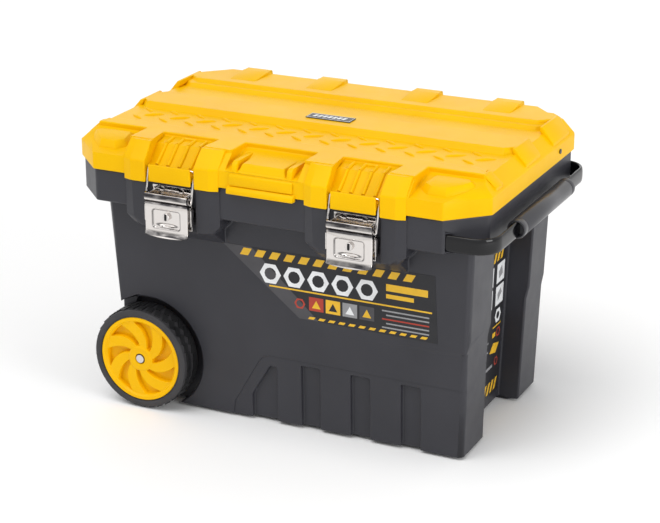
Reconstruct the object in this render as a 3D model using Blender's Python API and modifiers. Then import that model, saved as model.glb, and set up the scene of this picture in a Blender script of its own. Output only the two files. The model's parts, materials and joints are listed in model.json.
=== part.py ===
# Wheeled plastic tool chest: a drafted tub, a hinged lid, two draw latches,
# a pull-out tow handle and two wheels.
# Metres, +Z up. The front is at -Y and the wheels are at the -X end.
import math

import bmesh
import bpy
from mathutils import Matrix, Vector

# Fits
SEAT_GAP = 0.0003
RUN_CLEARANCE = 0.0003

# Lid outline and heights
LID_LENGTH = 0.615
LID_FRONT = 0.194
LID_BACK = 0.200
LID_FRONT_CHAMFER = 0.0487
LID_BACK_CHAMFER = 0.022
LID_WALL = 0.006
LID_BOTTOM = 0.354
SKIRT_HEIGHT = 0.024
CROWN_SIDE = 0.0185
CROWN_FRONT = 0.021
CROWN_BACK = 0.007
TREAD_RISE = 0.0185
LID_ROOF = 0.004

# Raised bands across the lid, front to back
FRONT_BAND_RISE = 0.005
FRONT_BAND_START = 0.018
FRONT_BAND_DEPTH = 0.074
RIDGE_RISE = 0.008
RIDGE_FRONT = -0.017
RIDGE_BACK = 0.042
RIDGE_CORNER = 0.015
STEP_RISE = 0.005
STEP_FRONT = 0.108
PLATFORM_RISE = 0.0095
PLATFORM_FRONT = 0.122
PLATFORM_CORNER = 0.040
PLATFORM_TUCK = 0.0025
RISER_SLOPE = 0.006
BAND_END_INSET = 0.019
TAB_RISE = 0.004
TAB_DEPTH = 0.018
TAB_LENGTH = 0.041
TAB_PLACES = (-0.2025, -0.0765, 0.0765, 0.2025)

# Lid front: shoulders, latch recesses, finger lip and corner recesses
SHOULDER_PROUD = 0.006
SHOULDER_DROP = 0.006
SHOULDER_SIDE = 0.010
LIP_HALF = 0.050
LIP_DROP = 0.005
RECESS_BACK = 0.052
RECESS_FLARE = 0.006
RECESS_END_DEPTH = 0.005
GROOVE_DEPTH = 0.013
CENTRE_RECESS_HALF = 0.054
CENTRE_RECESS_DEPTH = 0.063
GRIP_BLOCK_HALF = 0.031
GRIP_BLOCK_RISE = 0.012
CORNER_RECESS_INNER = 0.211
CORNER_RECESS_DEPTH = 0.068
CORNER_RECESS_DROP = 0.007

# Tub and rim
RIM_INSET = 0.0035
RIM_HEIGHT = 0.0462
OVERHANG_RIGHT = 0.0158
OVERHANG_LEFT = 0.0435
OVERHANG_FRONT = 0.0312
OVERHANG_BACK = 0.0372
DRAFT_RIGHT = 0.030
DRAFT_LEFT = 0.060
DRAFT_FRONT = 0.027
TUB_WALL = 0.004
TUB_CORNER = 0.006
TUB_BACK_CORNER = 0.019
TUB_SKIRT_Z = 0.004
FLOOR_Z = 0.030
SKIRT_WALL = 0.006
FOOT_LENGTH = 0.056
FOOT_WIDTH = 0.080
FOOT_TUCK = 0.011
FOOT_TUCK_Z = 0.016
RIM_WALL = 0.006
RIM_FRONT_CUT = 0.036
RIM_BACK_CUT = 0.010

# Right end: two corner pillars with a sunk panel between them
PILLAR_WIDTH = 0.082
PANEL_DEPTH = 0.035
PANEL_TOP_GAP = 0.005
PILLAR_STEP_Z = 0.178
PILLAR_STEP_LOW = 0.158

# The lower tub is sunk behind a bevelled step that runs high over the wheel; X and Z pairs
LOWER_SINK = 0.0035
STEP_UPPER = ((-0.118, 0.240), (-0.086, 0.234), (0.015, 0.168), (0.035, 0.163))
STEP_LOWER = ((-0.123, 0.213), (-0.099, 0.207), (0.002, 0.149), (0.031, 0.152))
WALL_THIN_Z = 0.205
WALL_FULL_Z = 0.245

# Lower front: a shallow panel and grooves between the pads
GROOVE_PLACES = (0.035, 0.110, 0.185)
GROOVE_WIDTH = 0.0285
GROOVE_SINK = 0.008
GROOVE_TOP = 0.096
SLANT_TOP = 0.087
SLANT_MID = 0.039
SLANT_WIDE = 0.039
SLANT_NARROW = 0.010
SLANT_RIGHT = -0.003
PANEL_SINK = 0.0015
PANEL_CREASE_Z = 0.104
PANEL_LEFT_LOW = -0.069
PANEL_LEFT_HIGH = -0.033
PANEL_BEND_Z = 0.080
PANEL_BEND_RADIUS = 0.024

# Draw latches
LATCH_X = 0.136
LATCH_BLOCK_HALF = 0.0725
LATCH_FACE_HALF = 0.060
LATCH_BAY_HALF = 0.038
BLOCK_DROP = 0.023
BLOCK_CHAMFER = 0.011
BLOCK_SETBACK = 0.003
BLOCK_ROOT_Z = 0.262
BLOCK_POCKET_HALF = 0.050
BAY_DEPTH = 0.006
KEEPER_HALF = 0.0322
KEEPER_DROP = 0.004
KEEPER_HEIGHT = 0.024
KEEPER_WALL = 0.003
KEEPER_WEB = 0.008
SLOT_HALF = 0.0376
PIVOT_Y = -0.203
PIVOT_DROP = 0.020
PIVOT_PIN_RADIUS = 0.0018
SHEET = 0.0015
BASE_HALF = 0.030
BASE_TOP_GAP = 0.005
BASE_HEIGHT = 0.060
EAR_OFFSET = 0.028
EAR_REACH = 0.0035
EAR_HALF_HEIGHT = 0.006
LEVER_HALF = 0.0328
LEVER_FACE = 0.0060
LEVER_TOP = 0.0045
LEVER_LENGTH = 0.057
LEVER_FLANGE_LENGTH = 0.029
LEVER_FLANGE_DEPTH = 0.0115
LEVER_LIP = 0.005
BAIL_OFFSET = 0.008
BAIL_WIRE_RADIUS = 0.0015
BAIL_HALF = 0.0352
BAIL_HEIGHT = 0.044
BAIL_LEAN = 0.0104
BAIL_BEND = 0.004
BAIL_HOLE_CLEARANCE = 0.0004
LOCK_RADIUS = 0.0055
LOCK_DROP = 0.0275
LOCK_PROUD = 0.0017
LOCK_LENGTH = 0.0095
CAM_LENGTH = 0.012
CAM_HALF = 0.003

# Hinges
HINGE_X = 0.180
HINGE_LENGTH = 0.064
HINGE_BODY_HEIGHT = 0.036
HINGE_LID_HEIGHT = 0.019
HINGE_SHEET = 0.002
KNUCKLE_RADIUS = 0.0034
HINGE_PIN_RADIUS = 0.0016
KNUCKLE_GAP = 0.0004
HINGE_OUT = 0.0043

# Small fasteners
SHANK_RADIUS = 0.0016
SHANK_LENGTH = 0.0045
HEAD_RADIUS = 0.0032
HEAD_THICKNESS = 0.0012
RIVET_SPREAD = 0.015
RIVET_DROP = 0.005
SCREW_SPREAD = 0.020
STAY_RIVET_Y = 0.115
STAY_RIVET_RISE = 0.014
STAY_HEAD_RADIUS = 0.0035

# Pull-out handle
ARM_THICKNESS = 0.006
ARM_HEIGHT = 0.022
ARM_FLOOR = 0.0035
CHANNEL_SKIN = 0.003
STOP_THICKNESS = 0.008
STOP_LENGTH = 0.020
ARM_INNER_X = -0.030
CHANNEL_END_GAP = 0.005
MOUTH_X = 0.205
HANDLE_OUT = 0.0155
HANDLE_BEND = 0.030
GRIP_RADIUS = 0.013
GRIP_LENGTH = 0.200

# Wheels
WHEEL_RADIUS = 0.075
WHEEL_WIDTH = 0.038
WHEEL_SETBACK = 0.0425
WHEEL_PROUD = 0.027
TYRE_DEPTH = 0.0123
HUB_RING = 0.006
HUB_PLATE = 0.012
HUB_BOSS_RADIUS = 0.016
HUB_POCKETS = 7
POCKET_DEPTH = 0.006
POCKET_INNER = 0.020
POCKET_EDGE = 0.0087
POCKET_SWEEP = 0.75
POCKET_HALF_ANGLE = 0.26
TYRE_SHOULDER = 0.004
ARCH_GAP = 0.009
WELL_GAP = 0.014
AXLE_RADIUS = 0.006
AXLE_INSIDE = 0.012
WASHER_RADIUS = 0.012
WASHER_THICKNESS = 0.0015
CAP_RADIUS = 0.0095
CAP_THICKNESS = 0.002
CAP_SINK = 0.004
BOSS_RADIUS = 0.015
NUT_RADIUS = 0.011
NUT_THICKNESS = 0.006

# Badge plate on the ridge
BADGE_LENGTH = 0.068
BADGE_DEPTH = 0.022
BADGE_THICKNESS = 0.0012
BADGE_X = 0.004

# Worked-out places
FAR = 0.2
ROUND_STEPS = 32
SMALL_STEPS = 16
LID_HALF = LID_LENGTH / 2
SKIRT_TOP = LID_BOTTOM + SKIRT_HEIGHT
TREAD_Z = SKIRT_TOP + TREAD_RISE
SHOULDER_FRONT = -LID_FRONT - SHOULDER_PROUD
RIM_HALF = LID_HALF - RIM_INSET
RIM_FRONT = -(LID_FRONT - RIM_INSET)
RIM_BACK = LID_BACK - RIM_INSET
RIM_TOP = LID_BOTTOM - SEAT_GAP
RIM_BOTTOM = RIM_TOP - RIM_HEIGHT
PIVOT_Z = LID_BOTTOM - PIVOT_DROP
BAND_HALF = LID_HALF - BAND_END_INSET
BLOCK_FRONT = SHOULDER_FRONT + BLOCK_SETBACK
BAY_FLOOR = BLOCK_FRONT + BAY_DEPTH
HINGE_Y = LID_BACK + HINGE_OUT
HINGE_Z = LID_BOTTOM - 0.0014
ARM_LOW = RIM_BOTTOM + ARM_FLOOR
ARM_MID_Z = ARM_LOW + ARM_HEIGHT / 2
CHANNEL_WIDTH = STOP_THICKNESS + 2 * RUN_CLEARANCE
ARM_IN_FROM_FACE = CHANNEL_SKIN + CHANNEL_WIDTH / 2
ARM_FRONT_Y = RIM_FRONT + ARM_IN_FROM_FACE
ARM_BACK_Y = RIM_BACK - ARM_IN_FROM_FACE
HANDLE_X = LID_HALF + HANDLE_OUT
HANDLE_MID_Y = (ARM_FRONT_Y + ARM_BACK_Y) / 2


def wall_right(z):
    return RIM_HALF - OVERHANG_RIGHT - DRAFT_RIGHT * (RIM_BOTTOM - z)


def wall_left(z):
    return -(RIM_HALF - OVERHANG_LEFT) + DRAFT_LEFT * (RIM_BOTTOM - z)


def wall_front(z):
    return RIM_FRONT + OVERHANG_FRONT + DRAFT_FRONT * (RIM_BOTTOM - z)


def wall_back(z):
    return RIM_BACK - OVERHANG_BACK - DRAFT_FRONT * (RIM_BOTTOM - z)


WHEEL_X = wall_left(WHEEL_RADIUS) + WHEEL_SETBACK
WHEEL_FACE = -wall_front(WHEEL_RADIUS) + WHEEL_PROUD
WHEEL_INNER = WHEEL_FACE - WHEEL_WIDTH
WELL_BACK = WHEEL_INNER - WELL_GAP
ARCH_RADIUS = WHEEL_RADIUS + ARCH_GAP
HUB_RADIUS = WHEEL_RADIUS - TYRE_DEPTH
POCKET_OUTER = HUB_RADIUS - POCKET_EDGE

MIDDLE_X = (HANDLE_X + GRIP_RADIUS - LID_HALF - SEAT_GAP - HEAD_THICKNESS) / 2
MIDDLE_Y = (HINGE_Y + KNUCKLE_RADIUS + PIVOT_Y - LEVER_FACE - LEVER_LIP) / 2

parts = bpy.data.collections.new("tool_chest")


def clear_scene():
    for item in list(bpy.data.objects):
        bpy.data.objects.remove(item, do_unlink=True)
    bpy.context.scene.collection.children.link(parts)


def finish(name, colour, roughness, metallic):
    # One plain Principled material for one piece.
    material = bpy.data.materials.new(name)
    material.use_nodes = True
    shader = material.node_tree.nodes["Principled BSDF"]
    shader.inputs["Base Color"].default_value = (*colour, 1.0)
    shader.inputs["Roughness"].default_value = roughness
    shader.inputs["Metallic"].default_value = metallic
    return material


YELLOW = ((0.90, 0.52, 0.01), 0.42, 0.0)
CHARCOAL = ((0.052, 0.052, 0.058), 0.50, 0.0)
BLACK = ((0.02, 0.02, 0.022), 0.55, 0.0)
RUBBER = ((0.03, 0.03, 0.032), 0.80, 0.0)
STEEL = ((0.62, 0.60, 0.57), 0.28, 1.0)
FILM = ((0.055, 0.055, 0.075), 0.35, 0.0)


def evaluated_mesh(holder):
    depsgraph = bpy.context.evaluated_depsgraph_get()
    return bpy.data.meshes.new_from_object(holder.evaluated_get(depsgraph))


def take(holder):
    # Reads a scratch object as a welded mesh and removes the object.
    mesh = evaluated_mesh(holder)
    shape = bmesh.new()
    shape.from_mesh(mesh)
    bmesh.ops.remove_doubles(shape, verts=shape.verts, dist=0.000002)
    bmesh.ops.recalc_face_normals(shape, faces=shape.faces)
    bpy.data.meshes.remove(mesh)
    bpy.data.objects.remove(holder, do_unlink=True)
    return shape


def scratch(shape):
    mesh = bpy.data.meshes.new("scratch")
    shape.to_mesh(mesh)
    shape.free()
    holder = bpy.data.objects.new("scratch", mesh)
    bpy.context.scene.collection.objects.link(holder)
    return holder


def boolean(base, tools, operation):
    holder = scratch(base)
    cutters = [scratch(tool) for tool in tools]
    for cutter in cutters:
        modifier = holder.modifiers.new("cut", "BOOLEAN")
        modifier.object = cutter
        modifier.operation = operation
        modifier.solver = "EXACT"
    result = take(holder)
    for cutter in cutters:
        bpy.data.objects.remove(cutter, do_unlink=True)
    return result


def cut(base, *tools):
    return boolean(base, tools, "DIFFERENCE")


def join(base, *tools):
    return boolean(base, tools, "UNION")


def place(name, shape, look, origin=(0, 0, 0), angle=None):
    # Makes the named object, with its origin where the piece turns or slides.
    origin = Vector(origin)
    bmesh.ops.translate(shape, vec=-origin, verts=shape.verts)
    mesh = bpy.data.meshes.new(name)
    shape.to_mesh(mesh)
    shape.free()
    if angle is not None:
        mesh.shade_smooth()
        mesh.set_sharp_from_angle(angle=angle)
    item = bpy.data.objects.new(name, mesh)
    item.location = origin
    mesh.materials.append(finish(name, *look))
    parts.objects.link(item)
    return item


def box(x0, x1, y0, y1, z0, z1):
    shape = bmesh.new()
    middle = Matrix.Translation(((x0 + x1) / 2, (y0 + y1) / 2, (z0 + z1) / 2))
    size = Matrix.Diagonal((x1 - x0, y1 - y0, z1 - z0, 1))
    bmesh.ops.create_cube(shape, size=1, matrix=middle @ size)
    return shape


def rod(axis, centre, start, end, radius, steps=ROUND_STEPS):
    # A cylinder along X or Y; centre gives the other two coordinates.
    shape = bmesh.new()
    length = end - start
    middle = (start + end) / 2
    if axis == "X":
        turn = Matrix.Rotation(math.pi / 2, 4, "Y")
        spot = Vector((middle, centre[0], centre[1]))
    else:
        turn = Matrix.Rotation(math.pi / 2, 4, "X")
        spot = Vector((centre[0], middle, centre[1]))
    bmesh.ops.create_cone(shape, cap_ends=True, segments=steps, radius1=radius, radius2=radius,
                          depth=length, matrix=Matrix.Translation(spot) @ turn)
    return shape


def loft(sections):
    # Joins outlines of equal point counts into one closed solid.
    shape = bmesh.new()
    rings = [[shape.verts.new(point) for point in section] for section in sections]
    for low, high in zip(rings, rings[1:]):
        for index in range(len(low)):
            after = (index + 1) % len(low)
            shape.faces.new((low[index], low[after], high[after], high[index]))
    shape.faces.new(list(reversed(rings[0])))
    shape.faces.new(rings[-1])
    bmesh.ops.recalc_face_normals(shape, faces=shape.faces)
    return shape


def plan(x0, x1, y0, y1, front_cut, back_cut, z):
    # A rectangle with chamfered corners at one height.
    outline = ((x0 + front_cut, y0), (x1 - front_cut, y0), (x1, y0 + front_cut), (x1, y1 - back_cut),
               (x1 - back_cut, y1), (x0 + back_cut, y1), (x0, y1 - back_cut), (x0, y0 + front_cut))
    return [Vector((x, y, z)) for x, y in outline]


def chest_plan(side, front, back, z):
    # The lid outline at one height, moved in by a distance of its own at the ends, front and back.
    front_cut = LID_FRONT_CHAMFER - (side + front) * (1 - math.sqrt(0.5))
    back_cut = LID_BACK_CHAMFER - (side + back) * (1 - math.sqrt(0.5))
    return plan(-LID_HALF + side, LID_HALF - side, -LID_FRONT + front, LID_BACK - back, front_cut, back_cut,
                z)


def rect(x0, x1, y0, y1, z):
    return [Vector((x0, y0, z)), Vector((x1, y0, z)), Vector((x1, y1, z)), Vector((x0, y1, z))]


def plate(points, thickness):
    # A flat outline given thickness along Z from zero.
    curve = bpy.data.curves.new("outline", "CURVE")
    curve.dimensions = "2D"
    curve.fill_mode = "BOTH"
    curve.extrude = thickness / 2
    spline = curve.splines.new("POLY")
    spline.points.add(len(points) - 1)
    for spot, (x, y) in zip(spline.points, points):
        spot.co = (x, y, 0, 1)
    spline.use_cyclic_u = True
    holder = bpy.data.objects.new("outline", curve)
    bpy.context.scene.collection.objects.link(holder)
    shape = take(holder)
    bmesh.ops.dissolve_limit(shape, angle_limit=0.0005, verts=shape.verts, edges=shape.edges)
    bmesh.ops.translate(shape, vec=(0, 0, thickness / 2), verts=shape.verts)
    return shape


def along_y(points, y0, y1):
    # An outline in X and Z, given thickness along Y.
    shape = plate([(z, x) for x, z in points], y1 - y0)
    swap = Matrix(((0, 1, 0, 0), (0, 0, 1, y0), (1, 0, 0, 0), (0, 0, 0, 1)))
    bmesh.ops.transform(shape, matrix=swap, verts=shape.verts)
    bmesh.ops.recalc_face_normals(shape, faces=shape.faces)
    return shape


def along_z(points, z0, z1):
    shape = plate(points, z1 - z0)
    bmesh.ops.translate(shape, vec=(0, 0, z0), verts=shape.verts)
    return shape


def turned(profile, steps):
    # A closed profile of (radius, place) pairs turned about the Y axis.
    mesh = bpy.data.meshes.new("profile")
    points = [(radius, 0, height) for radius, height in profile]
    edges = [(index, (index + 1) % len(points)) for index in range(len(points))]
    mesh.from_pydata(points, edges, [])
    holder = bpy.data.objects.new("profile", mesh)
    bpy.context.scene.collection.objects.link(holder)
    screw = holder.modifiers.new("turn", "SCREW")
    screw.axis = "Z"
    screw.steps = steps
    screw.render_steps = steps
    screw.use_merge_vertices = True
    screw.merge_threshold = 0.00001
    shape = take(holder)
    bmesh.ops.rotate(shape, cent=(0, 0, 0), matrix=Matrix.Rotation(-math.pi / 2, 3, "X"),
                     verts=shape.verts)
    return shape


def moved(shape, x, y, z):
    bmesh.ops.translate(shape, vec=(x, y, z), verts=shape.verts)
    return shape


def lean_with_front(shape):
    # Slants a shape so that it follows the drafted front wall.
    bmesh.ops.transform(shape,
                        matrix=Matrix(((1, 0, 0, 0), (0, 1, -DRAFT_FRONT, 0), (0, 0, 1, 0), (0, 0, 0, 1))),
                        verts=shape.verts)
    return shape


def fastener(name, axis, centre, face, outward, head_radius, look):
    # A domed-over head on a face, with its shank going in.
    head = rod(axis,
               centre, *sorted((face + outward * SEAT_GAP, face + outward * (SEAT_GAP + HEAD_THICKNESS))),
               head_radius, SMALL_STEPS)
    shank_end = face - outward * SHANK_LENGTH
    shank = rod(axis, centre, *sorted((face + outward * HEAD_THICKNESS / 2, shank_end)), SHANK_RADIUS,
                SMALL_STEPS)
    place(name, join(head, shank), look, angle=0.6)


def fastener_hole(axis, centre, face, outward):
    depth = SHANK_LENGTH + SEAT_GAP
    return rod(axis, centre, *sorted((face + outward * depth, face - outward * depth)),
               SHANK_RADIUS + RUN_CLEARANCE, SMALL_STEPS)


def band(front, back, rise, back_corner, slopes, root, tuck=0.0):
    # A raised band across the lid with sloped sides and chamfered ends, rooted in the crown.
    spread = (rise + root) / rise
    half = BAND_HALF - tuck
    low = plan(-half - 0.001, half + 0.001, front - slopes[0] * spread, back + slopes[1] * spread,
               RIDGE_CORNER, back_corner, TREAD_Z - root)
    high = plan(-half, half, front, back, RIDGE_CORNER, back_corner, TREAD_Z + rise)
    return loft([low, high])


def shoulder(sign):
    middle = sign * LATCH_X
    back = -LID_FRONT + LID_WALL
    outline = ((middle - LATCH_BLOCK_HALF, back), (middle - LATCH_BLOCK_HALF,
                                                   SHOULDER_FRONT + SHOULDER_SIDE / 2),
               (middle - LATCH_FACE_HALF, SHOULDER_FRONT), (middle + LATCH_FACE_HALF, SHOULDER_FRONT),
               (middle + LATCH_BLOCK_HALF, SHOULDER_FRONT + SHOULDER_SIDE / 2), (middle + LATCH_BLOCK_HALF,
                                                                                 back))
    apron = [(x, min(y, RIM_FRONT - RIM_INSET)) for x, y in outline]
    low = [Vector((x, y, LID_BOTTOM - SHOULDER_DROP)) for x, y in apron]
    seat = [Vector((x, y, LID_BOTTOM)) for x, y in apron]
    top = [Vector((x, y, SKIRT_TOP)) for x, y in outline]
    peak = [Vector((x, y + CROWN_FRONT, TREAD_Z + FRONT_BAND_RISE - 0.001)) for x, y in outline]
    return loft([low, seat]), loft([seat, top, peak])


def latch_recess(sign):
    # The slot for the bail and the sloped recess behind it.
    middle = sign * LATCH_X
    groove_back = SHOULDER_FRONT + GROOVE_DEPTH
    slot = box(middle - SLOT_HALF, middle + SLOT_HALF, SHOULDER_FRONT - FAR, groove_back,
               LID_BOTTOM - FAR, LID_BOTTOM + FAR)
    floor_front = LID_BOTTOM + KEEPER_HEIGHT - KEEPER_DROP - RECESS_END_DEPTH
    floor_back = TREAD_Z + FRONT_BAND_RISE - RECESS_END_DEPTH
    sections = []
    for step, (depth, floor) in enumerate(((-0.003, floor_front), (RECESS_BACK, floor_back))):
        y = groove_back + depth
        half = SLOT_HALF + step * RECESS_FLARE
        sections.append([Vector((middle - half, y, floor)), Vector((middle + half, y, floor)),
                         Vector((middle + half, y, LID_BOTTOM + FAR)), Vector((middle - half, y,
                                                                               LID_BOTTOM + FAR))])
    return slot, loft(sections)


def keeper(sign):
    # The upright lip that the bail hooks behind, and the web that carries it.
    middle = sign * LATCH_X
    low = LID_BOTTOM - KEEPER_DROP
    lip = box(middle - KEEPER_HALF, middle + KEEPER_HALF, SHOULDER_FRONT, SHOULDER_FRONT + KEEPER_WALL,
              low, low + KEEPER_HEIGHT)
    web = box(middle - KEEPER_HALF, middle + KEEPER_HALF, SHOULDER_FRONT + KEEPER_WALL / 2,
              SHOULDER_FRONT + GROOVE_DEPTH + LID_WALL / 2, low + 0.005, low + 0.005 + KEEPER_WEB)
    return join(lip, web)


def sloped_recess(x0, x1, depth, drop, flare):
    # A recess whose floor runs from the skirt top up to the front band.
    front = -LID_FRONT - 0.001
    sections = []
    for y, floor, grow in ((front - FAR, SKIRT_TOP, 0), (front, SKIRT_TOP, 0),
                           (front + depth, TREAD_Z + FRONT_BAND_RISE - drop, flare)):
        sections.append([Vector((x0 - grow, y, floor)), Vector((x1 + grow, y, floor)),
                         Vector((x1 + grow, y, LID_BOTTOM + FAR)), Vector((x0 - grow, y, LID_BOTTOM + FAR))])
    return loft(sections)


def grip_block():
    # The raised pad over the middle finger lip.
    front = -LID_FRONT
    rise = SKIRT_TOP + GRIP_BLOCK_RISE
    low = rect(-GRIP_BLOCK_HALF - 0.006, GRIP_BLOCK_HALF + 0.006, front, front + 0.050, SKIRT_TOP - 0.004)
    high = rect(-GRIP_BLOCK_HALF, GRIP_BLOCK_HALF, front + 0.008, front + 0.046, rise)
    return loft([low, high])


def corner_recess(sign):
    inner = CORNER_RECESS_INNER
    outer = LID_HALF + FAR
    x0, x1 = sorted((sign * inner, sign * outer))
    return sloped_recess(x0, x1, CORNER_RECESS_DEPTH, CORNER_RECESS_DROP, 0.0)


def lid_cavity():
    # The hollow under the roof, clear of the recesses along the front.
    front_low = SHOULDER_FRONT + GROOVE_DEPTH + LID_WALL * 2 / 3
    front_high = SHOULDER_FRONT + GROOVE_DEPTH + RECESS_BACK + LID_WALL
    half_low = LID_HALF - LID_WALL
    half_high = LID_HALF - CROWN_SIDE - LID_WALL
    line = LID_HALF + LID_FRONT - LID_FRONT_CHAMFER - LID_WALL * math.sqrt(2)
    low_cut = half_low - front_low - line
    back_cut = LID_BACK_CHAMFER - LID_WALL * (2 - math.sqrt(2))
    spring = LID_BOTTOM + KEEPER_WEB - 0.002
    roof = TREAD_Z - LID_ROOF
    sections = [plan(-half_low, half_low, front_low, LID_BACK - LID_WALL, low_cut, back_cut,
                     LID_BOTTOM - FAR),
                plan(-half_low, half_low, front_low, LID_BACK - LID_WALL, low_cut, back_cut, spring),
                plan(-half_high, half_high, front_high, LID_BACK - CROWN_BACK - LID_WALL, low_cut, back_cut,
                     roof)]
    return loft(sections)


def lid_tabs():
    # Four upright tabs along the back edge.
    tabs = []
    back = LID_BACK - 0.001
    for x in TAB_PLACES:
        low = rect(x - TAB_LENGTH / 2 - 0.003, x + TAB_LENGTH / 2 + 0.003, back - TAB_DEPTH - 0.003, back,
                   SKIRT_TOP + 0.004)
        high = rect(x - TAB_LENGTH / 2, x + TAB_LENGTH / 2, back - TAB_DEPTH, back - 0.0015,
                    TREAD_Z + PLATFORM_RISE + TAB_RISE)
        tabs.append(loft([low, high]))
    return tabs


def hinge_fastener_places():
    for sign in (-1, 1):
        for side in (-1, 1):
            yield sign, side, sign * HINGE_X + side * SCREW_SPREAD


HINGE_LID_MID = HINGE_Z + KNUCKLE_RADIUS + 0.001 + HINGE_LID_HEIGHT / 2
HINGE_BODY_MID = HINGE_Z - KNUCKLE_RADIUS - HINGE_BODY_HEIGHT / 2


def lid_shell():
    skirt = loft([chest_plan(0, 0, 0, LID_BOTTOM), chest_plan(0, 0, 0, SKIRT_TOP),
                  chest_plan(CROWN_SIDE, CROWN_FRONT, CROWN_BACK, TREAD_Z)])
    platform_back = LID_BACK - CROWN_BACK - 0.001
    front_band = band(-LID_FRONT + CROWN_FRONT + 0.001, -LID_FRONT + FRONT_BAND_START + FRONT_BAND_DEPTH,
                      FRONT_BAND_RISE, RIDGE_CORNER, (0, RISER_SLOPE), 0.0030)
    ridge = band(RIDGE_FRONT, RIDGE_BACK, RIDGE_RISE, RIDGE_CORNER, (RISER_SLOPE, RISER_SLOPE), 0.0034)
    step = band(STEP_FRONT, platform_back - 0.008, STEP_RISE, RIDGE_CORNER, (RISER_SLOPE, 0), 0.0038)
    platform = band(PLATFORM_FRONT, platform_back, PLATFORM_RISE, PLATFORM_CORNER, (RISER_SLOPE, 0), 0.0042,
                    PLATFORM_TUCK)
    lip = box(-LIP_HALF, LIP_HALF, -LID_FRONT - SHOULDER_PROUD / 2, RIM_FRONT - RIM_INSET / 2,
              LID_BOTTOM - LIP_DROP, LID_BOTTOM + LIP_DROP)
    shape = join(skirt, front_band, ridge, step, platform, *lid_tabs())
    for sign in (-1, 1):
        shape = join(shape, *shoulder(sign))
    shape = join(shape, lip)
    shape = cut(shape, sloped_recess(-CENTRE_RECESS_HALF, CENTRE_RECESS_HALF, CENTRE_RECESS_DEPTH,
                                     CORNER_RECESS_DROP, 0.0))
    shape = join(shape, grip_block())
    for sign in (-1, 1):
        shape = cut(shape, corner_recess(sign))
        shape = cut(shape, *latch_recess(sign))
        shape = join(shape, keeper(sign))
    shape = cut(shape, lid_cavity())
    holes = [fastener_hole("Y", (x, HINGE_LID_MID), LID_BACK, 1) for _, _, x in hinge_fastener_places()]
    holes += [fastener_hole("X", (STAY_RIVET_Y, LID_BOTTOM + STAY_RIVET_RISE), sign * LID_HALF, sign)
              for sign in (-1, 1)]
    place("lid_shell", cut(shape, *holes), YELLOW, (0, HINGE_Y, HINGE_Z))


def tub_plan(z, inset):
    loss = inset * (2 - math.sqrt(2))
    return plan(wall_left(z) + inset, wall_right(z) - inset, wall_front(z) + inset, wall_back(z) - inset,
                TUB_CORNER - loss, TUB_BACK_CORNER - loss, z)


def rim_solid():
    loss = RIM_INSET * (2 - math.sqrt(2))
    front_cut = LID_FRONT_CHAMFER - loss
    back_cut = LID_BACK_CHAMFER - loss
    return loft([plan(-RIM_HALF, RIM_HALF, RIM_FRONT, RIM_BACK, front_cut, back_cut, z)
                 for z in (RIM_BOTTOM, RIM_TOP)])


def latch_block(sign):
    # The block on the tub that a latch is mounted on, with bevelled edges.
    middle = sign * LATCH_X
    back = wall_front(BLOCK_ROOT_Z) + TUB_WALL / 2
    sections = []
    narrow = LATCH_BLOCK_HALF - BLOCK_CHAMFER
    low = RIM_BOTTOM - BLOCK_DROP
    for half, front, z in ((narrow, wall_front(BLOCK_ROOT_Z) - 0.001, BLOCK_ROOT_Z),
                           (narrow, BLOCK_FRONT + BLOCK_CHAMFER / 4, low),
                           (LATCH_BLOCK_HALF, BLOCK_FRONT, low + BLOCK_CHAMFER),
                           (LATCH_BLOCK_HALF, BLOCK_FRONT, LID_BOTTOM - SHOULDER_DROP - SEAT_GAP)):
        face = half - (LATCH_BLOCK_HALF - LATCH_FACE_HALF)
        side = min(front + SHOULDER_SIDE / 2, back - 0.001)
        outline = ((middle - half, back), (middle - half, side), (middle - face, front),
                   (middle + face, front), (middle + half, side), (middle + half, back))
        sections.append([Vector((x, y, z)) for x, y in outline])
    return loft(sections)


def latch_bay(sign):
    middle = sign * LATCH_X
    return box(middle - LATCH_BAY_HALF, middle + LATCH_BAY_HALF, BLOCK_FRONT - FAR, BAY_FLOOR,
               RIM_BOTTOM - FAR, RIM_TOP + FAR)


def block_pocket(sign):
    # The back of a latch block is open to the inside, so that its walls stay thin.
    middle = sign * LATCH_X
    return box(middle - BLOCK_POCKET_HALF, middle + BLOCK_POCKET_HALF, BAY_FLOOR + RIM_WALL,
               wall_front(RIM_BOTTOM) + FAR / 10, RIM_BOTTOM - BLOCK_DROP + RIM_WALL, RIM_BOTTOM + 2 * TUB_WALL)


def wheel_well(side, grow):
    start = side * (WELL_BACK - grow)
    return rod("Y", (WHEEL_X, WHEEL_RADIUS), *sorted((start, side * (WHEEL_FACE + FAR))),
               ARCH_RADIUS + grow, 48)


def end_panel(grow):
    # The sunk panel at the right end, between the pillars.
    sections = []
    for z in (-FAR, RIM_BOTTOM - PANEL_TOP_GAP + grow):
        sections.append(rect(wall_right(z) - PANEL_DEPTH - grow, RIM_HALF + FAR,
                             wall_front(z) + PILLAR_WIDTH - grow,
                             wall_back(z) - PILLAR_WIDTH + grow, z))
    return loft(sections)


def pillar_step():
    sections = []
    for z, sink in ((-FAR / 4, LOWER_SINK), (PILLAR_STEP_LOW, LOWER_SINK), (PILLAR_STEP_Z, -0.0002)):
        sections.append(rect(wall_right(z) - sink, RIM_HALF + FAR, RIM_FRONT - FAR, RIM_BACK + FAR, z))
    return loft(sections)


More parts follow.
